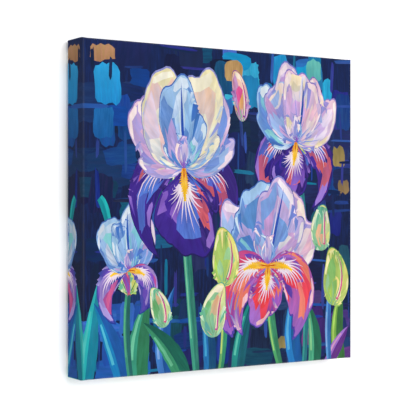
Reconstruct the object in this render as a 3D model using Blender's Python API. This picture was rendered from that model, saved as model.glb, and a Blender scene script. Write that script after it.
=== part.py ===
"""A stretched canvas print: one canvas sheet wrapped over a keyed pine frame, with a sawtooth hanger.

Metres, +Z up. The picture faces -Y and the wall is the plane y = 0. The origin is the point of the
wall where the hanger's middle notch sits on its nail. The frame's four bars are alike: each is drawn
as the bottom bar, around the middle of the picture, and turned about Y into its own side.
Along a bar, u runs from its left end, w from its outer face inwards, and v from its front backwards.
"""

import bmesh
import bpy
from math import cos, pi, radians, sin, sqrt
from mathutils import Matrix, Vector

# Driving dimensions
SIDE = 0.3048  # the canvas is square: 12 inches
DEPTH = 0.03175  # front face to the canvas on the back: 1 1/4 inches
CLOTH = 0.0005  # primed and printed cotton canvas
GAP = 0.0003  # clear space between separate pieces
WALL_SPACE = 0.0040  # back of the bars to the wall
FLANGE = 0.0200  # how far the canvas reaches over the back of the bars

BAR_WIDTH = 0.0380
BEAD_WIDTH = 0.0050  # the raised front edge that holds the canvas off the bar
BEAD_HEIGHT = 0.0045
BEAD_RADIUS = 0.0020
FACE_SLOPE = 0.0020  # extra fall of the front face from the bead to the inner edge
INNER_CHAMFER = 0.0015
BACK_CHAMFER = 0.0006

TONGUE = 0.0030
FIRST_TONGUE = 0.0100  # depth of the two layers where the corners lock
SECOND_TONGUE = 0.0170
MITRE_GAP = 0.00022
KEY_SLOT = 0.0096  # how far a slot runs past the corner, to take its key
KEY_THICKNESS = 0.0028
KEY_LENGTH = 0.0280
KEY_INSIDE = 0.0150
KEY_TIP = 0.0052
KEY_HEEL = 0.0117
KEY_CORNER = 0.0025

STAPLES_PER_BAR = 8
STAPLE_PITCH = 0.0376
STAPLE_LINE = 0.0110  # from the bar's outer face
STAPLE_CROWN = 0.0110
STAPLE_LEG = 0.0080
STAPLE_WIRE = (0.0012, 0.0006)  # width and thickness of the flattened wire
STAPLE_TILT = radians(6)

HANGER_LENGTH = 0.0450
HANGER_HEIGHT = 0.0100
HANGER_SHEET = 0.0009
HANGER_RISE = 0.0020
HANGER_LINE = 0.0292  # from the top bar's outer face to the middle of the strip
HANGER_HOLE = 0.0192  # from the middle of the strip to each nail
TOOTH_PITCH = 0.0024
TOOTH_DEPTH = 0.0014
TEETH = 10

NAIL_RADIUS = 0.00065
NAIL_HOLE_RADIUS = 0.0010
NAIL_HEAD_RADIUS = 0.0017
NAIL_HEAD = 0.0008
NAIL_SHAFT = 0.0095

BUMPER_RADIUS = 0.0050
BUMPER_FLAT_RADIUS = 0.0036
BUMPER_LINE = 0.0290  # from the bottom bar's outer face
BUMPER_FROM_END = 0.0535

# Places that follow from them
INSET = CLOTH + GAP  # canvas face to wood
BAR_SIDE = SIDE - 2 * INSET
BAR_DEPTH = DEPTH - 2 * INSET
WOOD_BACK = -WALL_SPACE
WOOD_FRONT = WOOD_BACK - BAR_DEPTH
CANVAS_BACK = WOOD_BACK + INSET
CANVAS_FRONT = CANVAS_BACK - DEPTH
MIDDLE_Z = HANGER_LINE + HANGER_HEIGHT / 2 - TOOTH_DEPTH - BAR_SIDE / 2
CUT = 0.005  # how far a cutter runs past the piece that it cuts
TURNS = {"bottom": 0, "left": 1, "top": 2, "right": 3}  # quarter turns about +Y


def material(name, colour, roughness, metallic=0.0):
    made = bpy.data.materials.new(name)
    made.use_nodes = True
    shader = made.node_tree.nodes["Principled BSDF"]
    shader.inputs["Base Color"].default_value = (*colour, 1.0)
    shader.inputs["Roughness"].default_value = roughness
    shader.inputs["Metallic"].default_value = metallic
    made.diffuse_color = (*colour, 1.0)
    return made


def add_object(name, bm, finish=None):
    """The finished mesh as an object, with its faces turned outwards."""
    bmesh.ops.recalc_face_normals(bm, faces=bm.faces)
    mesh = bpy.data.meshes.new(name)
    bm.to_mesh(mesh)
    bm.free()
    made = bpy.data.objects.new(name, mesh)
    bpy.context.scene.collection.objects.link(made)
    if finish:
        mesh.materials.append(finish)
    return made


def hide_cutter(cutter):
    cutter.hide_render = True
    cutter.display_type = "WIRE"


def cut(piece, cutter):
    boolean = piece.modifiers.new(cutter.name, "BOOLEAN")
    boolean.operation = "DIFFERENCE"
    boolean.solver = "EXACT"
    boolean.object = cutter


def smooth(piece, angle=radians(40)):
    piece.data.shade_smooth()
    piece.data.set_sharp_from_angle(angle=angle)


def add_prism(bm, outline, low, high, place):
    """A flat outline of (a, b) points, drawn out from low to high. place(a, b, c) gives each point."""
    bottom = [bm.verts.new(place(a, b, low)) for a, b in outline]
    top = [bm.verts.new(place(a, b, high)) for a, b in outline]
    bm.faces.new(bottom)
    bm.faces.new(reversed(top))
    for i in range(len(outline)):
        j = (i + 1) % len(outline)
        bm.faces.new((bottom[j], bottom[i], top[i], top[j]))


def bar_point(u, w, v):
    """A point of the bottom bar, around the middle of the picture."""
    return Vector((u - BAR_SIDE / 2, WOOD_FRONT + v, w - BAR_SIDE / 2))


def quarter_turns(count):
    return Matrix.Rotation(count * pi / 2, 4, "Y")


def arc(centre, radius, start, end, steps=3):
    """Points on an arc, the angles in degrees."""
    angles = [radians(start + (end - start) * i / steps) for i in range(steps + 1)]
    return [(centre[0] + radius * cos(a), centre[1] + radius * sin(a)) for a in angles]


def turned(name, profile, finish, segments=24):
    """A round piece from (radius, y) points, which start and end on its axis."""
    bm = bmesh.new()
    points = [bm.verts.new((radius, y, 0)) for radius, y in profile]
    edges = [bm.edges.new(pair) for pair in zip(points, points[1:])]
    bmesh.ops.spin(
        bm, geom=points + edges, cent=(0, 0, 0), axis=(0, 1, 0), angle=2 * pi, steps=segments
    )
    bmesh.ops.remove_doubles(bm, verts=bm.verts, dist=1e-6)
    made = add_object(name, bm, finish)
    smooth(made)
    return made


def make_canvas(finish, cutters):
    """The sheet as stretched: a tray, open at the back, with a flange over the back of the bars."""
    front_radius = BEAD_RADIUS + INSET
    back_radius = CLOTH + 0.0007
    front_centre = (front_radius, front_radius)
    back_centre = (back_radius, DEPTH - back_radius)
    outside = arc(front_centre, front_radius, 270, 180) + arc(back_centre, back_radius, 180, 90)
    inside = arc(back_centre, back_radius - CLOTH, 90, 180)
    inside += arc(front_centre, front_radius - CLOTH, 180, 270)
    section = outside + [(FLANGE, DEPTH), (FLANGE, DEPTH - CLOTH)] + inside

    bm = bmesh.new()
    loops = []
    for inset, depth in section:
        half = SIDE / 2 - inset
        corners = ((-half, -half), (half, -half), (half, half), (-half, half))
        loops.append([bm.verts.new((x, CANVAS_FRONT + depth, z)) for x, z in corners])
    bm.faces.new(loops[0])
    bm.faces.new(reversed(loops[-1]))
    for loop, following in zip(loops, loops[1:]):
        for i in range(4):
            j = (i + 1) % 4
            bm.faces.new((loop[j], loop[i], following[i], following[j]))
    canvas = add_object("canvas", bm, finish)
    smooth(canvas)
    for cutter in cutters:
        cut(canvas, cutter)
    return canvas


def bar_section():
    """The bar's outline in (w, v): outer face, rounded bead, hollowed front, inner face, back."""
    bead_end = (BEAD_WIDTH, 0)
    foot = (BEAD_WIDTH + BEAD_HEIGHT, BEAD_HEIGHT)
    inner_front = BEAD_HEIGHT + FACE_SLOPE
    section = arc((BEAD_RADIUS, BEAD_RADIUS), BEAD_RADIUS, 180, 270)
    section += [bead_end, foot]
    section += [(BAR_WIDTH - INNER_CHAMFER, inner_front), (BAR_WIDTH, inner_front + INNER_CHAMFER)]
    section += [(BAR_WIDTH, BAR_DEPTH - INNER_CHAMFER), (BAR_WIDTH - INNER_CHAMFER, BAR_DEPTH)]
    section += [(BACK_CHAMFER, BAR_DEPTH), (0, BAR_DEPTH - BACK_CHAMFER)]
    return section


def make_joint_cutters(side):
    """What both ends of a bar lose: the mitre around the tongue, and the slot for the next tongue."""
    over = BAR_WIDTH + CUT
    slot_end = BAR_WIDTH + KEY_SLOT
    beyond_mitre = [(-CUT, -CUT), (-CUT + MITRE_GAP, -CUT), (over + MITRE_GAP, over), (-CUT, over)]
    slot = [(-CUT, -CUT), (slot_end, -CUT), (slot_end, over), (-CUT, over)]

    def from_left(u, w, v):
        return bar_point(u, w, v)

    def from_right(u, w, v):
        return bar_point(BAR_SIDE - u, w, v)

    mitres, slots = bmesh.new(), bmesh.new()
    ends = ((from_left, FIRST_TONGUE, SECOND_TONGUE), (from_right, SECOND_TONGUE, FIRST_TONGUE))
    for place, tongue, opening in ends:
        add_prism(mitres, beyond_mitre, -CUT, tongue, place)
        add_prism(mitres, beyond_mitre, tongue + TONGUE, BAR_DEPTH + CUT, place)
        add_prism(slots, slot, opening - GAP, opening + TONGUE + GAP, place)
    cutters = [add_object("cut_mitres_" + side, mitres), add_object("cut_slots_" + side, slots)]
    for cutter in cutters:
        cutter.data.transform(quarter_turns(TURNS[side]))
        hide_cutter(cutter)
    return cutters


def staple_places():
    """(matrix around the middle of the picture) of each staple of the bottom bar."""
    places = []
    for i in range(STAPLES_PER_BAR):
        along = (i - (STAPLES_PER_BAR - 1) / 2) * STAPLE_PITCH
        spot = Vector((along, CANVAS_BACK + GAP, STAPLE_LINE - BAR_SIDE / 2))
        tilt = STAPLE_TILT * sin(2.4 * i + 0.5)
        places.append(Matrix.Translation(spot) @ Matrix.Rotation(tilt, 4, "Y"))
    return places


def staple_mesh(finish):
    """A flat-wire staple, its legs towards the front. The crown's underside is at y = 0."""
    width, thick = STAPLE_WIRE
    half = STAPLE_CROWN / 2
    bend = 0.0004
    outline = [
        (-half, -STAPLE_LEG + thick),
        (-half + thick, -STAPLE_LEG),
        (-half + thick, -bend),
        (-half + thick + bend, 0),
        (half - thick - bend, 0),
        (half - thick, -bend),
        (half - thick, -STAPLE_LEG),
        (half, -STAPLE_LEG + thick),
        (half, thick - bend),
        (half - bend, thick),
        (-half + bend, thick),
        (-half, thick - bend),
    ]
    bm = bmesh.new()
    add_prism(bm, outline, -width / 2, width / 2, lambda a, b, c: Vector((a, b, c)))
    bmesh.ops.recalc_face_normals(bm, faces=bm.faces)
    mesh = bpy.data.meshes.new("staple")
    bm.to_mesh(mesh)
    bm.free()
    mesh.materials.append(finish)
    return mesh


def make_staple_cutter(side):
    """Holes for the staple legs of one side, through the canvas and into the bar."""
    width, thick = STAPLE_WIRE
    leg = STAPLE_CROWN / 2 - thick / 2
    wide, deep = thick / 2 + GAP, width / 2 + GAP
    bm = bmesh.new()
    for place in staple_places():
        for x in (-leg, leg):
            outline = [(x - wide, -deep), (x + wide, -deep), (x + wide, deep), (x - wide, deep)]
            add_prism(
                bm,
                outline,
                -STAPLE_LEG - GAP,
                thick + GAP,
                lambda a, b, c: place @ Vector((a, c, b)),
            )
    cutter = add_object("cut_staples_" + side, bm)
    cutter.data.transform(quarter_turns(TURNS[side]))
    hide_cutter(cutter)
    return cutter


def make_pilot_cutter(middle):
    """Holes for the two hanger nails, through the hanger's ends and into the top bar."""
    bm = bmesh.new()
    deepest = WOOD_BACK + GAP + HANGER_SHEET + GAP - NAIL_SHAFT - GAP
    for x in (-HANGER_HOLE, HANGER_HOLE):
        spot = Vector((x, (deepest + CUT) / 2, hanger_height()))
        bmesh.ops.create_cone(
            bm,
            cap_ends=True,
            segments=12,
            radius1=NAIL_HOLE_RADIUS,
            radius2=NAIL_HOLE_RADIUS,
            depth=CUT - deepest,
            matrix=Matrix.Translation(spot) @ Matrix.Rotation(pi / 2, 4, "X"),
        )
    cutter = add_object("cut_pilot_holes", bm)
    cutter.parent = middle
    hide_cutter(cutter)
    return cutter


def hanger_height():
    """The strip's middle line, above the middle of the picture."""
    return BAR_SIDE / 2 - HANGER_LINE


def make_bars(finish, middle, cutters, pilot_cutter):
    for side, turns in TURNS.items():
        bm = bmesh.new()
        add_prism(bm, bar_section(), 0, BAR_SIDE, lambda w, v, u: bar_point(u, w, v))
        bar = add_object("stretcher_bar_" + side, bm, finish)
        bar.parent = middle
        bar.data.transform(quarter_turns(turns))
        smooth(bar)
        for cutter in cutters[side]:
            cut(bar, cutter)
        if side == "top":
            cut(bar, pilot_cutter)


def make_keys(finish, middle):
    """Two wedges a bar: one in the slot at each end, driven in along the neighbouring bar."""
    inside = BAR_WIDTH - KEY_INSIDE
    outside = inside + KEY_LENGTH
    near = BAR_WIDTH + GAP
    outline = [
        (near, inside),
        (BAR_WIDTH + KEY_TIP, inside),
        (BAR_WIDTH + KEY_HEEL, outside - KEY_CORNER),
        (BAR_WIDTH + KEY_HEEL - KEY_CORNER, outside),
        (near, outside),
    ]
    play = (TONGUE - KEY_THICKNESS) / 2
    for side, turns in TURNS.items():
        for end, slot in (("first", SECOND_TONGUE), ("last", FIRST_TONGUE)):
            bm = bmesh.new()
            low = slot + play
            mirrored = end == "last"
            add_prism(
                bm,
                outline,
                low,
                low + KEY_THICKNESS,
                lambda u, w, v: bar_point(BAR_SIDE - u if mirrored else u, w, v),
            )
            key = add_object(f"corner_key_{side}_{end}", bm, finish)
            key.data.transform(quarter_turns(turns))
            key.parent = middle


def make_staples(finish, middle):
    mesh = staple_mesh(finish)
    for side, turns in TURNS.items():
        for number, place in enumerate(staple_places(), 1):
            staple = bpy.data.objects.new(f"staple_{side}_{number}", mesh)
            bpy.context.scene.collection.objects.link(staple)
            staple.parent = middle
            staple.matrix_local = quarter_turns(turns) @ place


def make_hanger(finish, middle, pilot_cutter):
    """A stamped strip with round ends, a raised middle and teeth along its lower edge."""
    half_length, half_height = HANGER_LENGTH / 2, HANGER_HEIGHT / 2
    round_from = half_length - half_height
    teeth_half = TEETH * TOOTH_PITCH / 2
    shoulder_start, shoulder_end = teeth_half + 0.0015, teeth_half + 0.0045
    edge_bend = 0.0004

    columns = []
    for i in range(2 * TEETH + 1):
        is_notch = i % 2 == 0
        lower = -half_height + (TOOTH_DEPTH if is_notch else 0)
        columns.append((-teeth_half + i * TOOTH_PITCH / 2, lower, half_height, HANGER_RISE))
    side_columns = [
        (teeth_half + edge_bend, half_height, HANGER_RISE),
        (shoulder_start, half_height, HANGER_RISE),
        (shoulder_start + edge_bend, half_height, HANGER_RISE - edge_bend / 3),
        (shoulder_end - edge_bend, half_height, edge_bend / 3),
        (shoulder_end, half_height, 0),
    ]
    for i in range(1, 8):
        reach = half_height * sin(i * pi / 16)
        side_columns.append((round_from + reach, sqrt(half_height**2 - reach**2), 0))
    right = [(x, -h, h, rise) for x, h, rise in side_columns]
    left = [(-x, low, high, rise) for x, low, high, rise in reversed(right)]
    columns = left + columns + right

    bm = bmesh.new()
    back = WOOD_BACK + GAP
    rings = []
    for x, low, high, rise in columns:
        corners = ((low, 0), (high, 0), (high, HANGER_SHEET), (low, HANGER_SHEET))
        rings.append([bm.verts.new((x, back + rise + t, z)) for z, t in corners])
    bm.faces.new(rings[0])
    bm.faces.new(reversed(rings[-1]))
    for ring, following in zip(rings, rings[1:]):
        for i in range(4):
            j = (i + 1) % 4
            bm.faces.new((ring[j], ring[i], following[i], following[j]))
    bmesh.ops.translate(bm, verts=bm.verts, vec=(0, 0, hanger_height()))
    hanger = add_object("sawtooth_hanger", bm, finish)
    hanger.parent = middle
    cut(hanger, pilot_cutter)


def make_nails(finish, middle):
    seat = WOOD_BACK + GAP + HANGER_SHEET + GAP
    tip = seat - NAIL_SHAFT
    profile = [
        (0, tip),
        (NAIL_RADIUS, tip + 2 * NAIL_RADIUS),
        (NAIL_RADIUS, seat),
        (NAIL_HEAD_RADIUS, seat),
        (NAIL_HEAD_RADIUS, seat + NAIL_HEAD / 2),
        (NAIL_HEAD_RADIUS * 0.7, seat + NAIL_HEAD * 0.85),
        (0, seat + NAIL_HEAD),
    ]
    for name, x in (("left", -HANGER_HOLE), ("right", HANGER_HOLE)):
        nail = turned("hanger_nail_" + name, profile, finish, segments=12)
        nail.parent = middle
        nail.location = (x, 0, hanger_height())


def make_bumpers(finish, middle):
    seat = WOOD_BACK + GAP
    round_start = -0.0011
    profile = [
        (0, seat),
        (BUMPER_RADIUS, seat),
        (BUMPER_RADIUS * 0.96, round_start),
        (BUMPER_RADIUS * 0.87, round_start / 3),
        (BUMPER_FLAT_RADIUS, 0),
        (0, 0),
    ]
    from_middle = BAR_SIDE / 2 - BUMPER_FROM_END
    for name, x in (("left", -from_middle), ("right", from_middle)):
        bumper = turned("wall_bumper_" + name, profile, finish)
        bumper.parent = middle
        bumper.location = (x, 0, BUMPER_LINE - BAR_SIDE / 2)


def main():
    for old in list(bpy.data.objects):
        bpy.data.objects.remove(old)

    canvas_finish = material("printed_canvas", (0.10, 0.09, 0.24), 0.6)
    pine = material("planed_pine", (0.66, 0.46, 0.25), 0.65)
    key_wood = material("beech_key", (0.60, 0.40, 0.22), 0.6)
    staple_wire = material("galvanised_wire", (0.62, 0.63, 0.65), 0.35, 1.0)
    hanger_steel = material("zinc_plated_steel", (0.60, 0.58, 0.52), 0.3, 1.0)
    bumper_rubber = material("grey_rubber", (0.25, 0.25, 0.26), 0.8)

    middle = bpy.data.objects.new("picture_middle", None)
    middle.location = (0, 0, MIDDLE_Z)
    bpy.context.scene.collection.objects.link(middle)

    cutters = {side: make_joint_cutters(side) + [make_staple_cutter(side)] for side in TURNS}
    for cutter in sum(cutters.values(), []):
        cutter.parent = middle
    pilot_cutter = make_pilot_cutter(middle)

    canvas = make_canvas(canvas_finish, [cutters[side][-1] for side in TURNS])
    canvas.parent = middle
    make_bars(pine, middle, cutters, pilot_cutter)
    make_keys(key_wood, middle)
    make_staples(staple_wire, middle)
    make_hanger(hanger_steel, middle, pilot_cutter)
    make_nails(hanger_steel, middle)
    make_bumpers(bumper_rubber, middle)


main()
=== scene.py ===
# %% [markdown]
# # A stretched canvas print
# This lesson finishes a square canvas print that hangs on a wall: one printed cotton sheet pulled over
# four pine bars, folded at its corners, stapled on the back, with wooden keys in the frame's corners,
# a sawtooth hanger and two rubber bumpers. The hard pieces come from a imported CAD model, already in
# place, and get their finishes here. The sheet, the staples and the loose threads are made here.

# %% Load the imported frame
import math
import random
from collections import namedtuple

import bpy
import numpy as np
from mathutils import Matrix, Vector, noise
from mathutils.geometry import delaunay_2d_cdt


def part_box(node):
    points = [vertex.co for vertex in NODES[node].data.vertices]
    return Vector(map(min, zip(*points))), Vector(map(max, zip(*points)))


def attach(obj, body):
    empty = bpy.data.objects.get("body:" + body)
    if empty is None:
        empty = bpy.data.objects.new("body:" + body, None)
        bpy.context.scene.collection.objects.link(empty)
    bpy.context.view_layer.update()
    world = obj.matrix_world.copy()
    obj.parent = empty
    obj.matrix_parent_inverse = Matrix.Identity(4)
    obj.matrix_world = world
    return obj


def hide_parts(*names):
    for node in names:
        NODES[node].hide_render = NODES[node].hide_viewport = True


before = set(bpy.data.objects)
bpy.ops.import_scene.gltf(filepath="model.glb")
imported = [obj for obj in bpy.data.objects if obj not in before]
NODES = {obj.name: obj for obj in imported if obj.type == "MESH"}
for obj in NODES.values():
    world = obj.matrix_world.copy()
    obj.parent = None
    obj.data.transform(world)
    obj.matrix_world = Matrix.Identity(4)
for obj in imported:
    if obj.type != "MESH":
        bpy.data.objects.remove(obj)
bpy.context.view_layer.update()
MM = 0.001

# %% [markdown]
# Everything is placed from the frame. The canvas node gives the picture's middle, its side and its
# depth, so that a change in the CAD model moves the sheet, the camera and the floor with it.

# %% Sizes read from the frame
canvas_low, canvas_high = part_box("canvas")
FRONT_Y = canvas_low.y
BACK_Y = canvas_high.y
DEPTH = BACK_Y - FRONT_Y
HALF_SIDE = (canvas_high.x - canvas_low.x) / 2
MIDDLE = Vector((0, FRONT_Y, (canvas_low.z + canvas_high.z) / 2))
print("side", round(2 * HALF_SIDE / MM, 1), "mm, depth", round(DEPTH / MM, 2), "mm")

# %% [markdown]
# The camera looks at the picture from the left, level with its middle, through a long lens, so that
# the upright edges stay upright and the far side is only a little smaller than the near one. The view
# is given as the camera's place in picture sides and the turn of its axis.

# %% Camera
SIDE = 2 * HALF_SIDE
CAMERA_STEP = Vector((-2.050 * SIDE, -3.129 * SIDE, 0.0007))  # from the picture's middle
CAMERA_TURN = -32.328  # degrees about the vertical, 0 looking straight at the wall
camera_data = bpy.data.cameras.new("camera")
camera_data.sensor_width = 36.0
camera_data.lens = 103.27
camera = bpy.data.objects.new("camera", camera_data)
bpy.context.scene.collection.objects.link(camera)
camera.location = MIDDLE + CAMERA_STEP
camera.rotation_euler = (math.radians(90), 0, math.radians(CAMERA_TURN))
bpy.context.scene.camera = camera
bpy.context.scene.view_settings.view_transform = "Standard"
print("camera at", [round(c, 3) for c in camera.location])

# %% [markdown]
# The canvas hangs on a white wall above a pale floor, in a plain white room. The wall is there for
# the camera only: light passes through it, and from behind it isn't seen, so it doesn't hide the
# back. The main light is soft and stands in front, a little to the right and above, so the shade on
# the wall shows at the left of the canvas and under it, and hardly anywhere else.

# %% Floor, wall, room and lights


def add_plane(name, corners):
    mesh = bpy.data.meshes.new(name)
    mesh.from_pydata(corners, [], [range(4)])
    plane = bpy.data.objects.new(name, mesh)
    bpy.context.scene.collection.objects.link(plane)
    return plane


ROOM = 8.0  # metres from the middle to each edge of the floor and the wall
FLOOR_Z = canvas_low.z - 0.5
WALL_Y = 0.0002  # just behind the hanger and the bumpers
ROOM_LIGHT = 0.84  # strength of the even light from all sides
square = ((-1, -1), (1, -1), (1, 1), (-1, 1))
floor = add_plane("floor", [(x * ROOM, y * ROOM, FLOOR_Z) for x, y in square])
wall = add_plane("wall", [(x * ROOM, WALL_Y, FLOOR_Z + (z + 1) * ROOM) for x, z in square])
for ray in ("diffuse", "glossy", "transmission", "shadow", "volume_scatter"):
    setattr(wall, "visible_" + ray, False)

world = bpy.data.worlds.new("white_room")
world.use_nodes = True
world.node_tree.nodes["Background"].inputs["Color"].default_value = (1, 1, 1, 1)
world.node_tree.nodes["Background"].inputs["Strength"].default_value = ROOM_LIGHT
bpy.context.scene.world = world


def add_area_light(name, place, size, power):
    """A round light at a place from the picture's middle, in metres, that faces the middle."""
    data = bpy.data.lights.new(name, "AREA")
    data.shape = "DISK"
    data.size = size
    data.energy = power
    light = bpy.data.objects.new(name, data)
    light.location = MIDDLE + Vector(place)
    light.rotation_euler = (-Vector(place)).to_track_quat("-Z", "Y").to_euler()
    bpy.context.scene.collection.objects.link(light)


add_area_light("key_light", place=(0.18, -3.0, 0.68), size=1.56, power=58)
print("floor at", round(FLOOR_Z, 3), "m, wall at", WALL_Y, "m")

# %% [markdown]
# Two small helpers serve every material. Colours are written as sRGB hex values, as on a paint card,
# and turned to linear light once. A node is added with its settings and links in one call: a tuple
# (node, "Output") is a link, anything else is a value for that socket.

# %% Colour and node helpers


def linear(code):
    """The linear colour of an sRGB hex value such as "c9a3d3"."""
    parts = [int(code[i : i + 2], 16) / 255 for i in (0, 2, 4)]
    return tuple(c / 12.92 if c <= 0.04045 else ((c + 0.055) / 1.055) ** 2.4 for c in parts)


def add_node(tree, kind, settings=None, **sockets):
    """A node. Socket names have _ for a space, and n with a number picks one by its place."""
    full_name = kind if kind.startswith(("Geometry", "Function")) else "ShaderNode" + kind
    node = tree.nodes.new(full_name)
    for name, value in (settings or {}).items():
        setattr(node, name, value)
    for name, value in sockets.items():
        key = int(name[1:]) if name[0] == "n" and name[1:].isdigit() else name.replace("_", " ")
        if isinstance(value, tuple) and isinstance(value[0], bpy.types.Node):
            tree.links.new(value[0].outputs[value[1]], node.inputs[key])
        else:
            node.inputs[key].default_value = value
    return node


def new_material(name):
    """An empty material, its tree and its output node."""
    made = bpy.data.materials.new(name)
    made.use_nodes = True
    made.node_tree.nodes.clear()
    return made, made.node_tree, made.node_tree.nodes.new("ShaderNodeOutputMaterial")


def ramp(tree, factor, *stops):
    """A colour ramp of (position, hex colour) stops."""
    node = add_node(tree, "ValToRGB", Fac=factor)
    while len(node.color_ramp.elements) < len(stops):
        node.color_ramp.elements.new(0.5)
    for element, (position, code) in zip(node.color_ramp.elements, stops):
        element.position = position
        element.color = (*linear(code), 1)
    return node


# %% [markdown]
# The floor and the wall have the same dull white paint, rolled on, with a faint unevenness. The
# wall's is clear from behind.

# %% Floor and wall paint


def matt_white_paint(name, clear_behind):
    material, tree, out = new_material(name)
    uneven = add_node(tree, "TexNoise", Scale=40, Detail=2)
    white = ramp(tree, (uneven, "Fac"), (0.3, "f9f9f9"), (0.7, "fdfdfd"))
    dull = add_node(tree, "BsdfDiffuse", Color=(white, "Color"))
    clear = add_node(tree, "BsdfTransparent")
    facing = add_node(tree, "NewGeometry")
    mixed = add_node(tree, "MixShader", n0=(facing, "Backfacing"), n1=(dull, 0), n2=(clear, 0))
    tree.links.new((mixed if clear_behind else dull).outputs[0], out.inputs["Surface"])
    return material


floor.data.materials.append(matt_white_paint("matt_white_floor_paint", False))
wall.data.materials.append(matt_white_paint("matt_white_wall_paint", True))
print("painted the floor and the wall")

# %% [markdown]
# ## Pine bars and beech keys
# The bars are planed pine, sawn so that the growth rings run along them: broad pale bands of early
# wood between narrow brown lines of late wood, with a knot here and there. The rings are a wave
# around an axis beside the board, stretched along the grain and pushed about by noise. The keys are
# beech, with a much finer figure. Each bar takes its wood from another place in the tree.

# %% Wood


def wood(name, grain_turn, place, ring, colours, knot_size):
    """Planed wood. The grain runs along X, turned by grain_turn degrees about Y; ring is in metres."""
    material, tree, out = new_material(name)
    coords = add_node(tree, "TexCoord")
    turn = (0, math.radians(grain_turn), 0)
    board = add_node(tree, "Mapping", Vector=(coords, "Object"), Location=place, Rotation=turn)
    long = add_node(tree, "Mapping", Vector=(board, "Vector"), Scale=(0.09, 1, 1))
    rings = add_node(
        tree, "TexWave", {"wave_type": "RINGS", "rings_direction": "X"}, Vector=(long, "Vector"),
        Scale=math.pi / 10 / ring, Distortion=9, Detail=2, Detail_Scale=0.45,
    )
    bands = ramp(tree, (rings, "Fac"), (0.0, colours[0]), (0.7, colours[1]), (1.0, colours[2]))
    # fibres about 0.6 mm wide and 30 mm long
    thin = add_node(tree, "Mapping", Vector=(board, "Vector"), Scale=(33, 1700, 1700))
    fibres = add_node(tree, "TexNoise", Vector=(thin, "Vector"), Scale=1, Detail=2)
    shade = add_node(tree, "MapRange", Value=(fibres, "Fac"), To_Min=0.8, To_Max=1.16)
    fibrous = add_node(tree, "HueSaturation", Color=(bands, "Color"), Value=(shade, "Result"))
    # knots: the middles of cells 60 mm across, so most bars show one or two
    cells = add_node(tree, "TexVoronoi", Vector=(board, "Vector"), Scale=16)
    near = add_node(tree, "Math", {"operation": "MULTIPLY"}, n0=(cells, "Distance"), n1=1 / knot_size)
    knot_rings = ((0.0, "704322"), (0.5, "8a5a30"), (0.8, "5c3a1e"), (1.0, "ffffff"))
    knots = ramp(tree, (near, "Value"), *knot_rings)
    tone = add_node(
        tree, "Mix", {"data_type": "RGBA", "blend_type": "MULTIPLY"}, n0=1.0,
        n6=(fibrous, "Color"), n7=(knots, "Color"),
    )
    bump = add_node(tree, "Bump", Height=(fibres, "Fac"), Strength=0.25, Distance=0.0001)
    planed = add_node(
        tree, "BsdfPrincipled", Base_Color=(tone, 2), Roughness=0.62, Normal=(bump, "Normal")
    )
    tree.links.new(planed.outputs[0], out.inputs["Surface"])
    return material


def finish(name, material):
    """Gives a CAD node its finished material."""
    for material_slot in NODES[name].material_slots:
        material_slot.material = material


PINE = ("dcbb88", "d2ad76", "ba8c58")
for number, side in enumerate(("bottom", "left", "top", "right")):
    upright = 90 * (number % 2)
    place = (0.31 * number, 0.055, 0.03 + 0.047 * number)
    finish(f"stretcher_bar_{side}", wood(f"planed_pine_{side}", upright, place, 0.0046, PINE, 0.09))
keys = [name for name in NODES if name.startswith("corner_key")]
beech = wood("planed_beech", 0, (0.4, 0.02, 0.07), 0.0009, ("b98555", "ae7a4b", "92603a"), 0.001)
for name in keys:
    finish(name, beech)
print("wood on", 4 + len(keys), "pieces")

# %% [markdown]
# ## Steel and rubber
# The sawtooth hanger is stamped from zinc-plated sheet: a cool grey metal with faint rolling lines
# and cloudy patches where the zinc grew. Its nails are bright drawn steel. The bumpers are moulded
# grey rubber, dull and slightly dusty.

# %% Steel and rubber


def plated_steel(name, codes, roughness, stretch):
    """A metal with cloudy plating and fine lines along X. stretch is the lines' scale per metre."""
    material, tree, out = new_material(name)
    coords = add_node(tree, "TexCoord")
    clouds = add_node(tree, "TexNoise", Vector=(coords, "Object"), Scale=260, Detail=3)
    tone = ramp(tree, (clouds, "Fac"), (0.35, codes[0]), (0.65, codes[1]))
    lines = add_node(tree, "Mapping", Vector=(coords, "Object"), Scale=stretch)
    rolled = add_node(tree, "TexNoise", Vector=(lines, "Vector"), Scale=1, Detail=2)
    dull = add_node(
        tree, "MapRange", Value=(rolled, "Fac"), To_Min=roughness - 0.1, To_Max=roughness + 0.14
    )
    bump = add_node(tree, "Bump", Height=(rolled, "Fac"), Strength=0.2, Distance=0.00004)
    metal = add_node(
        tree, "BsdfPrincipled", Base_Color=(tone, "Color"), Metallic=1, Roughness=(dull, "Result"),
        Normal=(bump, "Normal"),
    )
    tree.links.new(metal.outputs[0], out.inputs["Surface"])
    return material


def moulded_rubber():
    material, tree, out = new_material("moulded_grey_rubber")
    coords = add_node(tree, "TexCoord")
    dust = add_node(tree, "TexNoise", Vector=(coords, "Object"), Scale=900, Detail=4)
    tone = ramp(tree, (dust, "Fac"), (0.35, "55565a"), (0.7, "6f7074"))
    bump = add_node(tree, "Bump", Height=(dust, "Fac"), Strength=0.3, Distance=0.0001)
    rubber = add_node(
        tree, "BsdfPrincipled", Base_Color=(tone, "Color"), Roughness=0.8, Normal=(bump, "Normal")
    )
    tree.links.new(rubber.outputs[0], out.inputs["Surface"])
    return material


zinc = plated_steel("zinc_plated_sheet_steel", ("a9acb0", "c6c8c9"), 0.34, (20, 2600, 2600))
wire = plated_steel("galvanised_wire", ("9a9da1", "b7babd"), 0.4, (300, 300, 300))
rubber = moulded_rubber()
finish("sawtooth_hanger", zinc)
for side in ("left", "right"):
    finish(f"hanger_nail_{side}", wire)
    finish(f"wall_bumper_{side}", rubber)
print("steel on the hanger and its nails, rubber on the bumpers")

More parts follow.
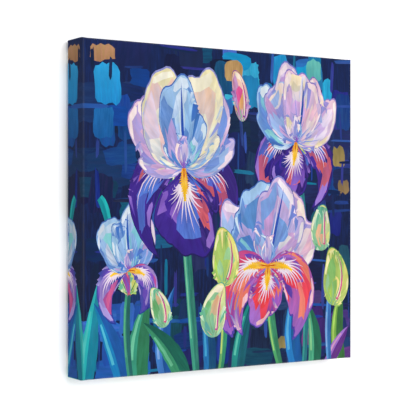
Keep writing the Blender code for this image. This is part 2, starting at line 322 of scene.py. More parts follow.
# %% [markdown]
# ## Staples
# The cloth is held by 32 staples of flattened wire, eight to a bar, driven by hand and so none quite
# square. One staple is a bent wire with rounded corners, and it repeats, so it is built by Geometry
# Nodes: a line of four points is set to the staple's shape, its corners are rounded, a small
# rectangle is swept along it, and the result is put on 32 points that carry each staple's turn.

# %% A node group's inputs and result


def new_group(name, **inputs):
    """A geometry node group with float or material inputs. Returns the group, its input and output."""
    group = bpy.data.node_groups.new(name, "GeometryNodeTree")
    group.interface.new_socket("Geometry", in_out="INPUT", socket_type="NodeSocketGeometry")
    for label, value in inputs.items():
        kind = "NodeSocketMaterial" if isinstance(value, bpy.types.Material) else "NodeSocketFloat"
        group.interface.new_socket(label.replace("_", " "), in_out="INPUT", socket_type=kind)
    group.interface.new_socket("Geometry", in_out="OUTPUT", socket_type="NodeSocketGeometry")
    return group, group.nodes.new("NodeGroupInput"), group.nodes.new("NodeGroupOutput")


def grow(name, points, turns, group, **inputs):
    """An object of points with their turns, made a mesh by the group with these inputs."""
    mesh = bpy.data.meshes.new(name)
    mesh.from_pydata(points, [], [])
    turn = mesh.attributes.new("turn", "FLOAT_VECTOR", "POINT")
    turn.data.foreach_set("vector", [c for t in turns for c in (0, t, 0)])
    obj = bpy.data.objects.new(name, mesh)
    bpy.context.scene.collection.objects.link(obj)
    modifier = obj.modifiers.new("grow", "NODES")
    modifier.node_group = group
    for item in group.interface.items_tree:
        label = item.name.replace(" ", "_")
        if item.in_out == "INPUT" and label in inputs:
            modifier[item.identifier] = inputs[label]
    bpy.context.view_layer.update()
    graph = bpy.context.evaluated_depsgraph_get()
    grown = bpy.data.meshes.new_from_object(obj.evaluated_get(graph))
    obj.modifiers.remove(modifier)
    obj.data = grown
    grown.name = name
    print(name, "has", len(grown.polygons), "faces")
    return obj


# %% The staple's node group, with its sizes in metres
STAPLE = {"Crown": 0.011, "Leg": 0.008, "Wire_Width": 0.0012, "Wire_Thickness": 0.0006, "Bend": 0.0009}
sizes = dict(STAPLE, Finish=wire)
group, given, result = new_group("staple", **sizes)
line = add_node(group, "GeometryNodeMeshLine", Count=4)
index = add_node(group, "GeometryNodeInputIndex")
centred = add_node(group, "Math", {"operation": "SUBTRACT"}, n0=(index, "Index"), n1=1.5)
side = add_node(group, "Math", {"operation": "SIGN"}, n0=(centred, 0))
span = add_node(group, "Math", {"operation": "SUBTRACT"}, n0=(given, "Crown"), n1=(given, "Wire Thickness"))
half = add_node(group, "Math", {"operation": "MULTIPLY"}, n0=(span, 0), n1=0.5)
across = add_node(group, "Math", {"operation": "MULTIPLY"}, n0=(side, 0), n1=(half, 0))
distance = add_node(group, "Math", {"operation": "ABSOLUTE"}, n0=(centred, 0))
is_tip = add_node(group, "Math", {"operation": "GREATER_THAN"}, n0=(distance, 0), n1=1)
depth = add_node(group, "Math", {"operation": "MULTIPLY"}, n0=(is_tip, 0), n1=(given, "Leg"))
down = add_node(group, "Math", {"operation": "MULTIPLY"}, n0=(depth, 0), n1=-1)
spot = add_node(group, "CombineXYZ", X=(across, 0), Y=(down, 0))
bent = add_node(group, "GeometryNodeSetPosition", Geometry=(line, 0), Position=(spot, 0))
curve = add_node(group, "GeometryNodeMeshToCurve", Mesh=(bent, 0))
rounding = {"mode": "POLY"}
rounded = add_node(
    group, "GeometryNodeFilletCurve", rounding, n0=(curve, 0), Count=3, Radius=(given, "Bend")
)
profile_curve = add_node(
    group, "GeometryNodeCurvePrimitiveQuadrilateral", Width=(given, "Wire Width"),
    Height=(given, "Wire Thickness"),
)
soft_profile = add_node(
    group, "GeometryNodeFilletCurve", rounding, n0=(profile_curve, 0), Count=3, Radius=0.00018
)
swept = add_node(
    group, "GeometryNodeCurveToMesh", Curve=(rounded, 0), Profile_Curve=(soft_profile, 0),
    Fill_Caps=True,
)
turn = add_node(group, "GeometryNodeInputNamedAttribute", {"data_type": "FLOAT_VECTOR"}, Name="turn")
placed = add_node(
    group, "GeometryNodeInstanceOnPoints", Points=(given, "Geometry"), Instance=(swept, 0),
    Rotation=(turn, "Attribute"),
)
real = add_node(group, "GeometryNodeRealizeInstances", Geometry=(placed, 0))
coated = add_node(group, "GeometryNodeSetMaterial", Geometry=(real, 0), Material=(given, "Finish"))
group.links.new(coated.outputs[0], result.inputs[0])

# %% Staples on the frame
STAPLES_PER_BAR = 8
points, turns, staple_nodes = [], [], []
for quarter, side_name in enumerate(("bottom", "left", "top", "right")):
    for i in range(STAPLES_PER_BAR):
        node_name = f"staple_{side_name}_{i + 1}"
        low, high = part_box(node_name)
        crown_y = high.y - STAPLE["Wire_Thickness"] / 2
        points.append(((low.x + high.x) / 2, crown_y, (low.z + high.z) / 2))
        askew = math.radians(6) * math.sin(2.4 * i + 0.5)
        turns.append(quarter * math.pi / 2 + askew)
        staple_nodes.append(node_name)
staples = grow("staples", points, turns, group, **sizes)
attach(staples, "root")
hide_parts(*staple_nodes)

# %% [markdown]
# ## The sheet
# The canvas starts as a flat printed sheet, about 405 mm square. It is pulled over the frame and
# folded round to the back, so the sheet is modelled in the same two steps. It is drawn flat first,
# where the print is easy to lay out, and then one function folds every point of it onto the frame.
# Cloth doesn't stretch much, so a millimetre on the flat sheet stays a millimetre on the frame.

# %% The sheet's sizes, in mm
CLOTH = 0.26  # thickness of the primed cotton
FRONT_BEND = 1.9  # radius of the cloth's outside over the front edge
BACK_BEND = 1.2  # and over the back edge
FLANGE = 20.0  # how far the cloth reaches in over the back
HEM = 8.0  # turned under at the back's corners
LAYER = CLOTH + 0.01  # what each layer adds to a folded corner
BLEED = 8.0  # how far the print runs on over the back
HALF = HALF_SIDE / MM
THICK = DEPTH / MM
INNER = HALF - FRONT_BEND  # from the middle to where the cloth starts to bend
SIDE_START = math.pi / 2 * FRONT_BEND
BACK_START = SIDE_START + THICK - FRONT_BEND - BACK_BEND
BACK_END = BACK_START + math.pi / 2 * BACK_BEND
EDGE = BACK_END + FLANGE - BACK_BEND
FLAT_HALF = INNER + EDGE
HAIR = 1e-4  # closer than this, two points touch
print("flat sheet", round(2 * FLAT_HALF, 1), "mm square before its corners are trimmed")


# %% [markdown]
# Along a line across one edge, the cloth runs over the front, round the front bend, down the side,
# round the back bend and in over the back: `profile` says where a point that far along is. At a
# corner there is too much cloth. It is folded as a picture framer does it: the left and right sides
# are wrapped first, the spare square is creased on its diagonal and tucked flat, and the top and
# bottom are folded over it, so the corner shows one straight edge and the back a neat overlap.

# %% Folding a point


def smooth(x):
    """0 below 0, 1 above 1, and an easy curve between them."""
    x = min(max(x, 0), 1)
    return x * x * (3 - 2 * x)


def profile(along):
    """(distance from the middle, depth, normal's outward part, normal's backward part) of the cloth."""
    if along <= 0:
        return INNER + along, 0, 0, -1
    if along <= SIDE_START:
        s, c = math.sin(along / FRONT_BEND), math.cos(along / FRONT_BEND)
        return INNER + FRONT_BEND * s, FRONT_BEND * (1 - c), s, -c
    if along <= BACK_START:
        return HALF, FRONT_BEND + along - SIDE_START, 1, 0
    if along <= BACK_END:
        turn = (along - BACK_START) / BACK_BEND
        s, c = math.sin(turn), math.cos(turn)
        return HALF - BACK_BEND * (1 - c), THICK - BACK_BEND * (1 - s), c, s
    return HALF - BACK_BEND - (along - BACK_END), THICK, 0, 1


def corner_line(along):
    """How far past the bend's start a strip's end lies on the corner's edge."""
    return FRONT_BEND * math.sin(min(max(along / FRONT_BEND, 0), math.pi / 2))


def lift(inward, along):
    """How far a top or bottom strip stands off over the folded layers, inward from the corner."""
    if along <= 0:
        return 0
    over_pleat = smooth((min(along, BACK_START) - FRONT_BEND - inward) / 5 + 1)
    over_hem, over_flange = smooth((HEM - inward) / 3 + 1), smooth((FLANGE - inward) / 5 + 1)
    on_side = 2 * LAYER * over_pleat
    on_back = LAYER * (over_hem + over_flange)
    return smooth(along / 6) * (on_side + (on_back - on_side) * smooth((along - BACK_START) / 3))


STAPLE_PITCH = 37.6  # mm between staples
LAST_STAPLE = (STAPLES_PER_BAR - 1) / 2 * STAPLE_PITCH


def slack(along, across):
    """The cloth's edge on the back stands up a little between the staples that hold it."""
    between = 0.5 + 0.5 * math.cos(2 * math.pi * across / STAPLE_PITCH)
    return 0.35 * between * smooth((along - BACK_END) / 10) * smooth((LAST_STAPLE - abs(across)) / 8)


def set_in(along, reach):
    """How far a strip's end is drawn in from the corner on the back, so that it doesn't stick out."""
    return 0.9 * smooth((along - BACK_START) / 3) * smooth((reach - HALF + 8) / 8)


def fold(flat):
    """(place, normal) on the frame, as (x, depth, height) in mm, of a point of the flat sheet."""
    x, z = abs(flat[0]), abs(flat[1])
    along_x, along_z = x - INNER, z - INNER
    if along_z <= corner_line(along_x) + HAIR:
        reach, depth, out, back = profile(along_x)
        normal = Vector((out, back, 0))
        spot = Vector((reach, depth, z - set_in(along_x, z))) + normal * slack(along_x, z)
    elif along_x <= corner_line(along_z) + HAIR:
        reach, depth, out, back = profile(along_z)
        normal = Vector((0, back, out))
        raised = lift(corner_line(along_z) - along_x, along_z) + slack(along_z, x)
        spot = Vector((x - set_in(along_z, x), depth, reach)) + normal * raised
    else:
        spot, normal = tuck(along_x, along_z)
    turned = Vector((math.copysign(1, flat[0]), 1, math.copysign(1, flat[1])))
    return spot * turned, (normal * turned).normalized()


def tuck(along_x, along_z):
    """The spare square of a corner: face up against the frame, or turned under the top strip."""
    along = max(along_x, along_z)
    reach, depth, out, back = profile(along)
    corner = corner_line(along)
    full = HEM if along > BACK_START else along - corner
    on_edge = Vector((out, 2 * back, out)).normalized()
    up = Vector((0, back, out))
    if along_x > along_z:
        spot = Vector((reach - along_z + corner, depth, reach))
        return spot, on_edge.lerp(up, smooth(full / 4))
    past = along_x - corner
    bend = min(0.7, 0.3 * full)
    top = lift(0, along_z)
    low = top * (LAYER - CLOTH) / (2 * LAYER)
    middle, radius = (top + low) / 2, (top - low) / 2
    turn = math.pi * min(past / bend, 1)
    s, c = math.sin(turn), math.cos(turn)
    inward = max(past - bend, 0) * full / (full - bend)
    edge = INNER + corner - set_in(along, HALF)
    spot = Vector((edge + 0.2 * radius * s - inward, depth, reach))
    spot += up * (middle + radius * c)
    normal = Vector((s, 0, 0)) + up * c
    if along <= BACK_START and full - inward < 0.01:
        normal = Vector((1, 1, 0))
    return spot, on_edge.lerp(normal, smooth(full / 4))


cut_edge = fold((FLAT_HALF, 0))[0]
print("the flat sheet's right edge folds to", [round(c, 1) for c in cut_edge], "mm")

# %% [markdown]
# The sheet's corners are trimmed before it is folded, so that no more than three layers lie on each
# other. Its cut edge isn't quite straight, as scissors leave it.

# %% The sheet's outline and fold lines


def walk(points, step):
    """The same path with a point at least every step mm."""
    path = []
    for a, b in zip(points, points[1:]):
        count = max(1, math.ceil((b - a).length / step))
        path += [a.lerp(b, i / count) for i in range(count)]
    return path + [points[-1]]


def mirrored_all(path):
    """The path in all four quarters of the sheet."""
    return [[Vector((p.x * sx, p.y * sy)) for p in path] for sx in (1, -1) for sy in (1, -1)]


def sheet_outline():
    """The cut sheet, anticlockwise: the first quarter's path, then its mirror images in turn."""
    hem = FRONT_BEND + HEM
    steps = ((EDGE, -INNER), (EDGE, FRONT_BEND), (BACK_START, FRONT_BEND), (BACK_START, BACK_START))
    steps += ((hem, BACK_START), (hem, EDGE), (-INNER, EDGE))
    quarter = walk([Vector((INNER + x, INNER + y)) for x, y in steps], 5)
    ring = []
    for sx, sy in ((1, 1), (-1, 1), (-1, -1), (1, -1)):
        path = [Vector((p.x * sx, p.y * sy)) for p in quarter]
        ring += (path if sx == sy else path[::-1])[:-1]
    for p in ring:
        ragged = 0.3 * noise.noise(Vector((p.x, p.y, 3)) * 0.12)
        far = max(abs(p.x), abs(p.y))
        if far > INNER + EDGE - 0.5 and min(abs(p.x), abs(p.y)) < INNER - 6:
            p *= 1 + ragged / far
    return ring


def fold_lines():
    """Lines that the mesh needs edges on: both bends, the corner's edges and the pleat's crease."""
    stops = [SIDE_START * i / 6 for i in range(7)]
    stops += [BACK_START + (BACK_END - BACK_START) * i / 4 for i in range(5)]
    lines = []
    for stop in [INNER + s for s in stops] + [INNER + BACK_END + BLEED]:
        for side in (stop, -stop):
            line = walk([Vector((side, -FLAT_HALF)), Vector((side, FLAT_HALF))], 8)
            lines += [line, [p.yx for p in line]]
    corner = []
    for i in range(7):
        path = []
        for stop in stops[1:7] + [8, 12, 18, 24, BACK_START]:
            full = stop - corner_line(stop)
            path.append((corner_line(stop) + min(0.7, 0.3 * full) * i / 6, stop))
        hem = [(FRONT_BEND + 0.7 * i / 6, s) for s in (BACK_START + 0.05, BACK_END, EDGE)]
        corner.append([Vector((INNER + a, INNER + b)) for a, b in [(0, 0)] + path + hem])
    side_path = [(stop, corner_line(stop)) for stop in stops[:7] + [BACK_START]]
    corner.append([Vector((INNER + a, INNER + b)) for a, b in side_path])
    corner.append([Vector((INNER, INNER)), Vector((INNER + BACK_START, INNER + BACK_START))])
    for path in corner:
        lines += mirrored_all(path)
    return lines


outline = sheet_outline()

# %% [markdown]
# ## The picture
# The sheet is printed with a loose painting of bearded irises in front of dark blue brushwork. It is
# painted here as a painter would, back to front, in flat shapes with crisp edges: a shape is an
# outline in millimetres around the picture's middle, two colours that it fades between, a third for
# the brush's streaks, and the way the brush went. Nothing is an image: a rule draws every outline.

# %% A painted shape
PICTURE = 151.8  # half the printed picture, in mm: the print is mirrored past this line
Shape = namedtuple("Shape", "outline start end near far streak flow")
painting = []
hand = random.Random(7)


def paint(outline, near, far=None, streak=None, start=None, end=None, flow=None):
    """Adds a shape. It fades from the colour near at start to the colour far at end."""
    area = sum(a.x * b.y - b.x * a.y for a, b in zip(outline, outline[1:] + outline[:1]))
    if abs(area) < 0.2:
        return
    far = far or near
    streak = streak or far
    start = start or outline[0]
    end = end or outline[len(outline) // 2]
    flow = flow or line_flow(start, end)
    ordered = outline if area > 0 else outline[::-1]
    painting.append(Shape(ordered, start, end, linear(near), linear(far), linear(streak), flow))


def polar(length, angle):
    """A step of that length at an angle in degrees, 0 to the right and 90 up."""
    turn = math.radians(angle)
    return Vector((length * math.cos(turn), length * math.sin(turn)))


def line_flow(start, end):
    """Brush coordinates (along, across) of a stroke from start to end, in mm."""
    along = (end - start).normalized() if (end - start).length > 0 else Vector((0, 1))
    across = Vector((-along.y, along.x))
    slip = hand.uniform(0, 500)
    return lambda p: (along.dot(p - start) + slip, across.dot(p - start) + slip)


def vary(code, amount=0.05):
    """The same paint, mixed a little lighter, darker or warmer."""
    shift = hand.uniform(-amount, amount)
    parts = [int(code[i : i + 2], 16) / 255 for i in (0, 2, 4)]
    parts = [c + shift + hand.uniform(-amount, amount) / 2 for c in parts]
    return "".join(f"{round(255 * min(max(c, 0), 1)):02x}" for c in parts)


def mix_codes(first, second, share):
    """A paint that is a share of the second colour in the first."""
    pairs = [(int(first[i : i + 2], 16), int(second[i : i + 2], 16)) for i in (0, 2, 4)]
    return "".join(f"{round(a + (b - a) * share):02x}" for a, b in pairs)


# %% [markdown]
# The ground is laid in blocks: short, wide brush marks with ragged ends, most of them upright or
# level. Their colours change from place to place, from a near-black blue in the middle to royal blue
# at the bottom and bright cyan and ochre accents near the top.

# %% Brush blocks


def block(centre, width, height, angle, near, far=None, ragged=1.6):
    """One brush mark: a rectangle whose sides waver and whose ends break up into bristles."""
    up, side = polar(1, angle + 90), polar(1, angle)
    left = [(-0.5 + hand.uniform(-0.03, 0.03), y) for y in (0.32, 0.12, -0.1, -0.33)]
    right = [(0.5 + hand.uniform(-0.03, 0.03), y) for y in (-0.35, -0.12, 0.1, 0.3)]
    teeth = max(3, int(width / 3.5))
    low = [((i + 0.5) / teeth - 0.5, -0.5) for i in range(teeth)]
    high = [(0.5 - (i + 0.5) / teeth, 0.5) for i in range(teeth)]
    outline = []
    for x, y in left + low + right + high:
        at_end = abs(y) == 0.5
        rag = hand.uniform(-1, 1) * ragged if at_end else 0
        outline.append(centre + side * (x * width) + up * (y * height + rag))
    top, bottom = centre + up * height / 2, centre - up * height / 2
    paint(outline, near, far, vary(near, 0.09), top, bottom, line_flow(top, bottom))


def scatter_blocks(low, high, count, colours, widths, heights, angles=(0, 90), ragged=1.6):
    """Brush marks of a few colours over the area between two corners."""
    for _ in range(count):
        centre = Vector((hand.uniform(low[0], high[0]), hand.uniform(low[1], high[1])))
        colour = vary(hand.choice(colours.split()), 0.03)
        angle = hand.choice(angles) + hand.uniform(-7, 7)
        size = hand.uniform(*widths), hand.uniform(*heights)
        block(centre, *size, angle, colour, vary(colour, 0.05), ragged)


def paint_ground():
    corner = PICTURE + 2
    square = [Vector((x * corner, y * corner)) for x, y in ((-1, -1), (1, -1), (1, 1), (-1, 1))]
    paint(square, "10204c", "0b1638", "182e66", Vector((0, 150)), Vector((0, -150)))
    scatter_blocks((-150, -150), (150, 150), 56, "12234e 0d1a3e 163060 1d2258 0f2a4c", (22, 40), (30, 56))
    # royal and cobalt blue along the top, and violet at the right
    scatter_blocks((-20, 95), (110, 150), 18, "3a74c0 2a8cc4 4468b8 2674ac 38a0c4", (12, 24), (16, 34))
    scatter_blocks((95, -60), (150, 140), 14, "26307a 2f3488 1a3a7c 1c2a5c 16445c", (14, 24), (22, 42))
    scatter_blocks((30, 60), (115, 150), 8, "1f7fb4 2b9ccc 257aa8", (10, 18), (18, 34))
    scatter_blocks((-150, 20), (-90, 130), 9, "24509c 1c4484 2c68b4", (14, 22), (18, 36))
    # the dark heart, and deep green-blue between the flowers
    scatter_blocks((-60, 60), (10, 150), 8, "0d1a3e 10244a 154a6e", (18, 30), (26, 44))
    scatter_blocks((-110, -30), (110, 20), 14, "13566f 1b6a80 103458 155078", (12, 22), (18, 36))
    scatter_blocks((-150, -60), (-95, 20), 7, "10204a 142a5a 1a4068", (16, 26), (24, 44))
    # the foot of the picture: royal blue at the left, plum and dark green at the right
    scatter_blocks((-150, -150), (-60, -85), 16, "2f60b0 2a55a4 3a6cbc 234c98 1f6a8c", (12, 24), (20, 40))
    scatter_blocks((-60, -150), (60, -85), 14, "15305c 124a5a 1a3c78 0f3a50", (12, 22), (18, 40))
    scatter_blocks((60, -150), (150, -80), 12, "26326e 40286c 1d3a68 522c78", (12, 22), (18, 36))


def dry_strokes(count):
    """Long thin marks of a nearly dry brush over the blocks, to break up their flat colour."""
    for _ in range(count):
        centre = Vector((hand.uniform(-150, 150), hand.uniform(-150, 150)))
        colour = hand.choice("23387c 2c4c9a 122450 1c6c90 2b3484 0f2048 27509a".split())
        size = hand.uniform(1.6, 4.5), hand.uniform(14, 44)
        block(centre, *size, hand.uniform(-5, 5) + hand.choice((0, 0, 90)), vary(colour), None, 2.5)


def paint_accents():
    """The bright and warm blocks that catch the eye between the flowers."""
    bright = (
        ((-128, 112), 26, 36, 4, "3fa4dc", "2f86c6"),
        ((-132, 78), 20, 30, -3, "2c6fae", "245c9c"),
        ((-133, 140), 24, 14, 0, "b08a62", "a47c55"),
        ((-122, -14), 15, 11, 2, "a98455", "b89467"),
        ((8, 132), 20, 17, 0, "b79263", "c9a673"),
        ((16, 112), 10, 15, 8, "a8854f", "c2a067"),
        ((104, 138), 18, 22, 2, "6fc0b4", "5aaeb0"),
        ((121, 118), 12, 26, -4, "38a7d2", "2e8fc0"),
        ((136, 52), 15, 22, 3, "8b7a4c", "a58d5b"),
        ((142, 22), 14, 12, 6, "7d6c4a", "957d54"),
        ((-4, -96), 19, 14, 2, "8d6b74", "7c6476"),
        ((12, -12), 19, 15, 0, "1f86a8", "1b6f92"),
        ((-18, 88), 13, 19, -5, "3f4fa8", "34409a"),
        ((66, -132), 15, 12, 4, "7d7348", "94834f"),
        ((98, -128), 17, 18, -12, "8d2f7c", "6a2a78"),
    )
    for centre, width, height, angle, near, far in bright:
        block(Vector(centre), width, height, angle, near, far, ragged=2.2)


# %% [markdown]
# A petal is a fan: its veins leave one point at the base and spread to a ruffled edge. So it is drawn
# in fan coordinates, a share of the way out and a share of the way from one side to the other, and
# everything on it follows the same rule: the patches of colour, veins and folds. The outline is an
# ellipse through the base, with rounded lobes like a frill's, and the whole fan can bend to one side,
# as the falls do when they hang over.

# %% The fan
FAN = 82  # degrees from a petal's axis to its side


class Petal:
    """A fan from base: length and width in mm, axis in degrees, bend in degrees at the far edge."""

    def __init__(self, base, length, width, axis, bend=0, ruffle=0.15, point=0.0, neck=0.0):
        self.base = Vector(base)
        self.length, self.width, self.axis, self.bend = length, width, axis, bend
        self.ruffle, self.point, self.neck = ruffle, point, neck
        self.lobes = [(f * hand.uniform(0.85, 1.15), hand.uniform(0, 3.1)) for f in (5, 9, 17)]

    def frill(self, across):
        """Rounded lobes with sharp notches between them, about -1 to 1."""
        heights = (0.55, 0.3, 0.15)
        return sum(h * (2 * abs(math.sin(f * across + n)) - 1.2) for h, (f, n) in zip(heights, self.lobes))

    def turn(self, distance):
        """How far the veins have swung round at a distance from the base, in degrees."""
        return self.bend * (distance / self.length) ** 1.6

    def spread(self, out):
        """How wide the fan has opened a share of the way out: a neck keeps it narrow at first."""
        return 1 - self.neck * (1 - smooth(out / 0.55))

    def at(self, out, across):
        """The point a share out (0 base, 1 edge) and across (-1 to 1)."""
        across = min(max(across, -1), 1)
        angle = math.radians(across * FAN)
        c, s = math.cos(angle), math.sin(angle)
        reach = self.length * c / (c * c + (self.length / self.width) ** 2 * s * s)
        reach *= 1 + self.ruffle * self.frill(across) * (1 - across**4)
        reach *= 1 + self.point * math.exp(-((across / 0.16) ** 2))
        distance = out * reach
        fan = across * FAN * self.spread(distance / self.length)
        return self.base + polar(distance, self.axis + fan + self.turn(distance))

    def flow(self):
        """Brush coordinates along and across the veins."""
        slip = hand.uniform(0, 500)
        axis = polar(1, self.axis)

        def along_veins(p):
            step = p - self.base
            distance = step.length
            turn = math.atan2(axis.x * step.y - axis.y * step.x, axis.dot(step)) if distance else 0
            turn -= math.radians(self.turn(distance))
            return distance + slip, turn * 0.55 * self.length + slip

        return along_veins

    def edge(self, out=1.0, first=-1.0, last=1.0, steps=64):
        """The outline at a share of the way out, from one side to the other."""
        return [self.at(out, first + (last - first) * i / steps) for i in range(steps + 1)]


# %% [markdown]
# A petal is filled with two kinds of mark. A patch is a dab of a flat brush that covers a share of
# the way out and a share across. A vein is one thin stroke that tapers to its end.

# %% Patches and veins


def patch(petal, out, across, near, far, flow, wobble=0.03, lean=0.0):
    """A patch of paint between two shares out and two across, with uneven ends and a slant."""
    steps = max(2, round((across[1] - across[0]) / 0.09))
    top, low = [], []
    for i in range(steps + 1):
        x = across[0] + (across[1] - across[0]) * i / steps
        top.append(petal.at(min(out[1] + hand.uniform(-1, 1) * wobble, 0.985), x + lean))
        low.append(petal.at(max(out[0] + hand.uniform(-1, 1) * wobble, 0.02), x))
    middle = sum(across) / 2
    sides = [petal.at(sum(out) / 2, x + lean * 0.7 + 0.02 * k) for x, k in zip(across, (-1, 1))]
    start, end = petal.at(out[0], middle), petal.at(out[1], middle)
    outline = top + [sides[1]] + low[::-1] + [sides[0]]
    paint(outline, near, far, vary(near, 0.07), start, end, flow)


def vein(petal, across, start, end, width, near, far=None, lean=0.0, flow=None):
    """A thin tapered stroke along the veins."""
    steps = 5
    left, right = [], []
    for i in range(steps + 1):
        part = i / steps
        out = start + (end - start) * part
        x = across + lean * part
        here, ahead = petal.at(out, x), petal.at(out + 0.01, x)
        side = (ahead - here).normalized()
        side = Vector((-side.y, side.x)) * width / 2 * (1 - part) ** 0.7
        left.append(here + side)
        right.append(here - side)
    paint(left + right[-2::-1], near, far, flow=flow)


# %% [markdown]
# A whole petal is laid from back to front: a dark edge, a body that changes colour from the base to
# the rim, one half in shade, a mosaic of patches, folds in shade and light along the frill, and the
# veins last. With fewer patches the same rule serves buds, spathes and the small arms of the throat.

# %% A whole petal


def paint_petal(petal, rim, shade, inner, outer, colours, patches=16, veins=None, midrib=None):
    """A petal: body, a half in shade, patches, frill and veins. colours run from side to side."""
    flow = petal.flow()
    tip = petal.at(1, 0)
    dark = mix_codes(shade, "1a2c66", 0.4)
    paint(petal.edge(1.02, -0.97, 0.97), dark, shade, dark, flow=flow)
    paint(petal.edge(), inner, outer, vary(outer, 0.08), petal.base, tip, flow)
    turned = hand.randrange(len(colours))
    colours = colours[turned:] + colours[:turned]
    middle = hand.uniform(-0.2, 0.2)
    patch(petal, (0.03, 0.97), (middle, 0.97), inner, mix_codes(outer, shade, 0.6), flow, 0.0)
    for i in range(patches):
        middle = (2 * (i + 0.5) / patches - 1) * 0.86
        half = hand.uniform(0.05, 0.17)
        low = hand.uniform(0.14, 0.72)
        high = min(low + hand.uniform(0.18, 0.42), hand.uniform(0.84, 1.0))
        place = (middle + 1) / 2 * len(colours) + hand.uniform(-1.2, 1.2)
        colour = vary(colours[int(min(max(place, 0), len(colours) - 1))], 0.03)
        sides = (max(middle - half, -0.96), min(middle + half, 0.96))
        slant = hand.uniform(-0.16, 0.16)
        patch(petal, (low, high), sides, mix_codes(colour, inner, 0.3), colour, flow, 0.03, slant)
    # the ruffle: a fold in shade at each notch, and light on the lobes between them
    notches = [x / 40 for x in range(-34, 35) if petal.frill(x / 40) < -0.35]
    for across in notches:
        if hand.random() < 0.5:
            end, lean = hand.uniform(0.5, 0.78), hand.uniform(-0.14, 0.14)
            vein(petal, across, 0.97, end, hand.uniform(3, 7), vary(shade), inner, lean, flow)
            vein(petal, across + 0.06, 0.97, end + 0.1, 3.4, vary(rim, 0.03), colours[0], lean, flow)
    for i in range(9):
        middle = (i + 0.5) / 4.5 - 1 + hand.uniform(-0.06, 0.06)
        if petal.frill(middle) > 0 and hand.random() < 0.75:
            depth, half = hand.uniform(0.05, 0.15), hand.uniform(0.05, 0.1)
            sides = (max(middle - half, -0.98), min(middle + half, 0.98))
            patch(petal, (0.97 - depth, 0.99), sides, vary(rim, 0.03), None, flow, 0.015)
    if veins:
        for i in range(6):
            across = (2 * (i + 0.5) / 6 - 1) * 0.8
            vein(petal, across, 0.1, hand.uniform(0.4, 0.7), 1.2, vary(veins), None, across * 0.1, flow)
    if midrib:
        lean = hand.uniform(-0.1, 0.1)
        vein(petal, lean, 0.0, 0.93, 4.4, midrib, vary(midrib, 0.1), -lean, flow)
        vein(petal, lean + 0.04, 0.05, 0.85, 1.6, rim, None, -lean, flow)


# %% [markdown]
# Petals of one kind share their paints: pale creams, lilacs and blues for the ones that stand up,
# violets and corals for the ones that hang, and yellow-greens for the buds.

# %% The petals' paints


def palette(main, patches):
    """A petal's paints: rim, shade, inner and outer body, and the patches from side to side."""
    return (*main.split(), patches.split())


STANDARDS = {
    "cream": palette("f6eed6 9a9cd8 8fa4dc f0e4b4", "8fb4e0 f3e3a3 f7ecc6 f0c8b4 e8cfe0 f7f0dc"),
    "lilac": palette("f4e4ee 7f84d0 6f90d0 dcc0e2", "7fa0dc c49ad0 e8c8e0 f4e0d0 d0a8d6 a9c0ea"),
    "sky": palette("dcebf6 4f74c0 4f80c8 a9ccee", "6a98d6 8fd0d4 d0e0f2 a9ccee c0aade 5a88cc"),
    "blush": palette("fbeae6 9a86cc 8f9cd8 eecbdc", "a9b8e8 f0c0cc f7dcd8 f6e6b8 dcb4dc f4dce8"),
}
FALLS = {
    "violet": palette("9a7ad0 221a58 50359a 3a2a86", "2a2a80 5038a0 8f6ac8 d96a70 5a7ad0 2f2470"),
    "coral": palette("f3c3cc 5f4ab0 d0507e a070c8", "d9486a f0525a ee8a70 a06ac8 6a7acc 5a4ab0"),
    "dusk": palette("b4a3e0 2f3f9a 6a4fb4 4a52a8", "3f4aa8 7a5ac0 a48ccc c85a8e 4b50b4 2c3f92"),
}
LIME = palette("f6efb4 7fb05a a9cc70 f3e584", "9fd0a0 b4d25a e4e27a f5e68c f7ecb8 86bc70")
BUDS = {
    "lime": LIME,
    "mint": palette("f4f0d0 5aa88a 7fc0a0 e9e69a", "5fb0a0 9fdcc0 d9e9a0 f3e58a f0b08a 6fae6a"),
    "rose": palette("fbe9d0 8a4a9c c9a3d3 f3c9a4", "6a4aa0 c9a3d3 f3dcc4 f0b05a d9588e 4f9a62"),
}
print("sets of petal paints:", *STANDARDS, *FALLS, *BUDS)

# %% [markdown]
# A bearded iris has standards that stand up and falls that hang. Each fall carries a beard near the
# throat: a thick brush of yellow hairs, with white veins fanning out beyond it. Small style arms
# close the throat, and green spathes wrap the stalk below it.

# %% Flowers and buds


def beard(petal, length, width):
    """Yellow hairs along the petal's middle, then white veins beyond them."""
    flow = petal.flow()
    for i in range(17):
        across = (i - 8) / 8 * 0.62
        reach = length + 0.24 + hand.uniform(0.0, 0.16) - abs(across) * 0.16
        vein(petal, across * 0.55, length * 0.66, reach, 2.2, "fbf6f2", "e3c9ea", across * 0.5, flow)
    left, right = [], []
    hairs = 13
    for i in range(hairs + 1):
        part = i / hairs
        here, ahead = petal.at(length * part, 0), petal.at(length * part + 0.02, 0)
        forward = (ahead - here).normalized()
        side = Vector((-forward.y, forward.x))
        half = width * (0.35 + 0.65 * math.sin(math.pi * min(part + 0.12, 1)))
        for row, way in ((left, 1), (right, -1)):
            row.append(here + side * way * half * 0.6)
            row.append(here + side * way * half * hand.uniform(0.95, 1.35) + forward * 2.2)
    start, end = petal.base, petal.at(length, 0)
    paint(left + right[::-1], "f08a1e", "fbc62a", "ffe06a", start, end, flow)
    for i in range(9):
        across = (i - 4) * 0.05
        vein(petal, across, 0.04, length * hand.uniform(0.6, 1.0), 1.0, "ffe78a", "f5b81c", 0.0, flow)
    for i in range(4):
        across = (i - 1.5) * 0.09
        vein(petal, across, 0.0, length * 0.5, 0.9, "b5541a", "e07a1c", 0.0, flow)


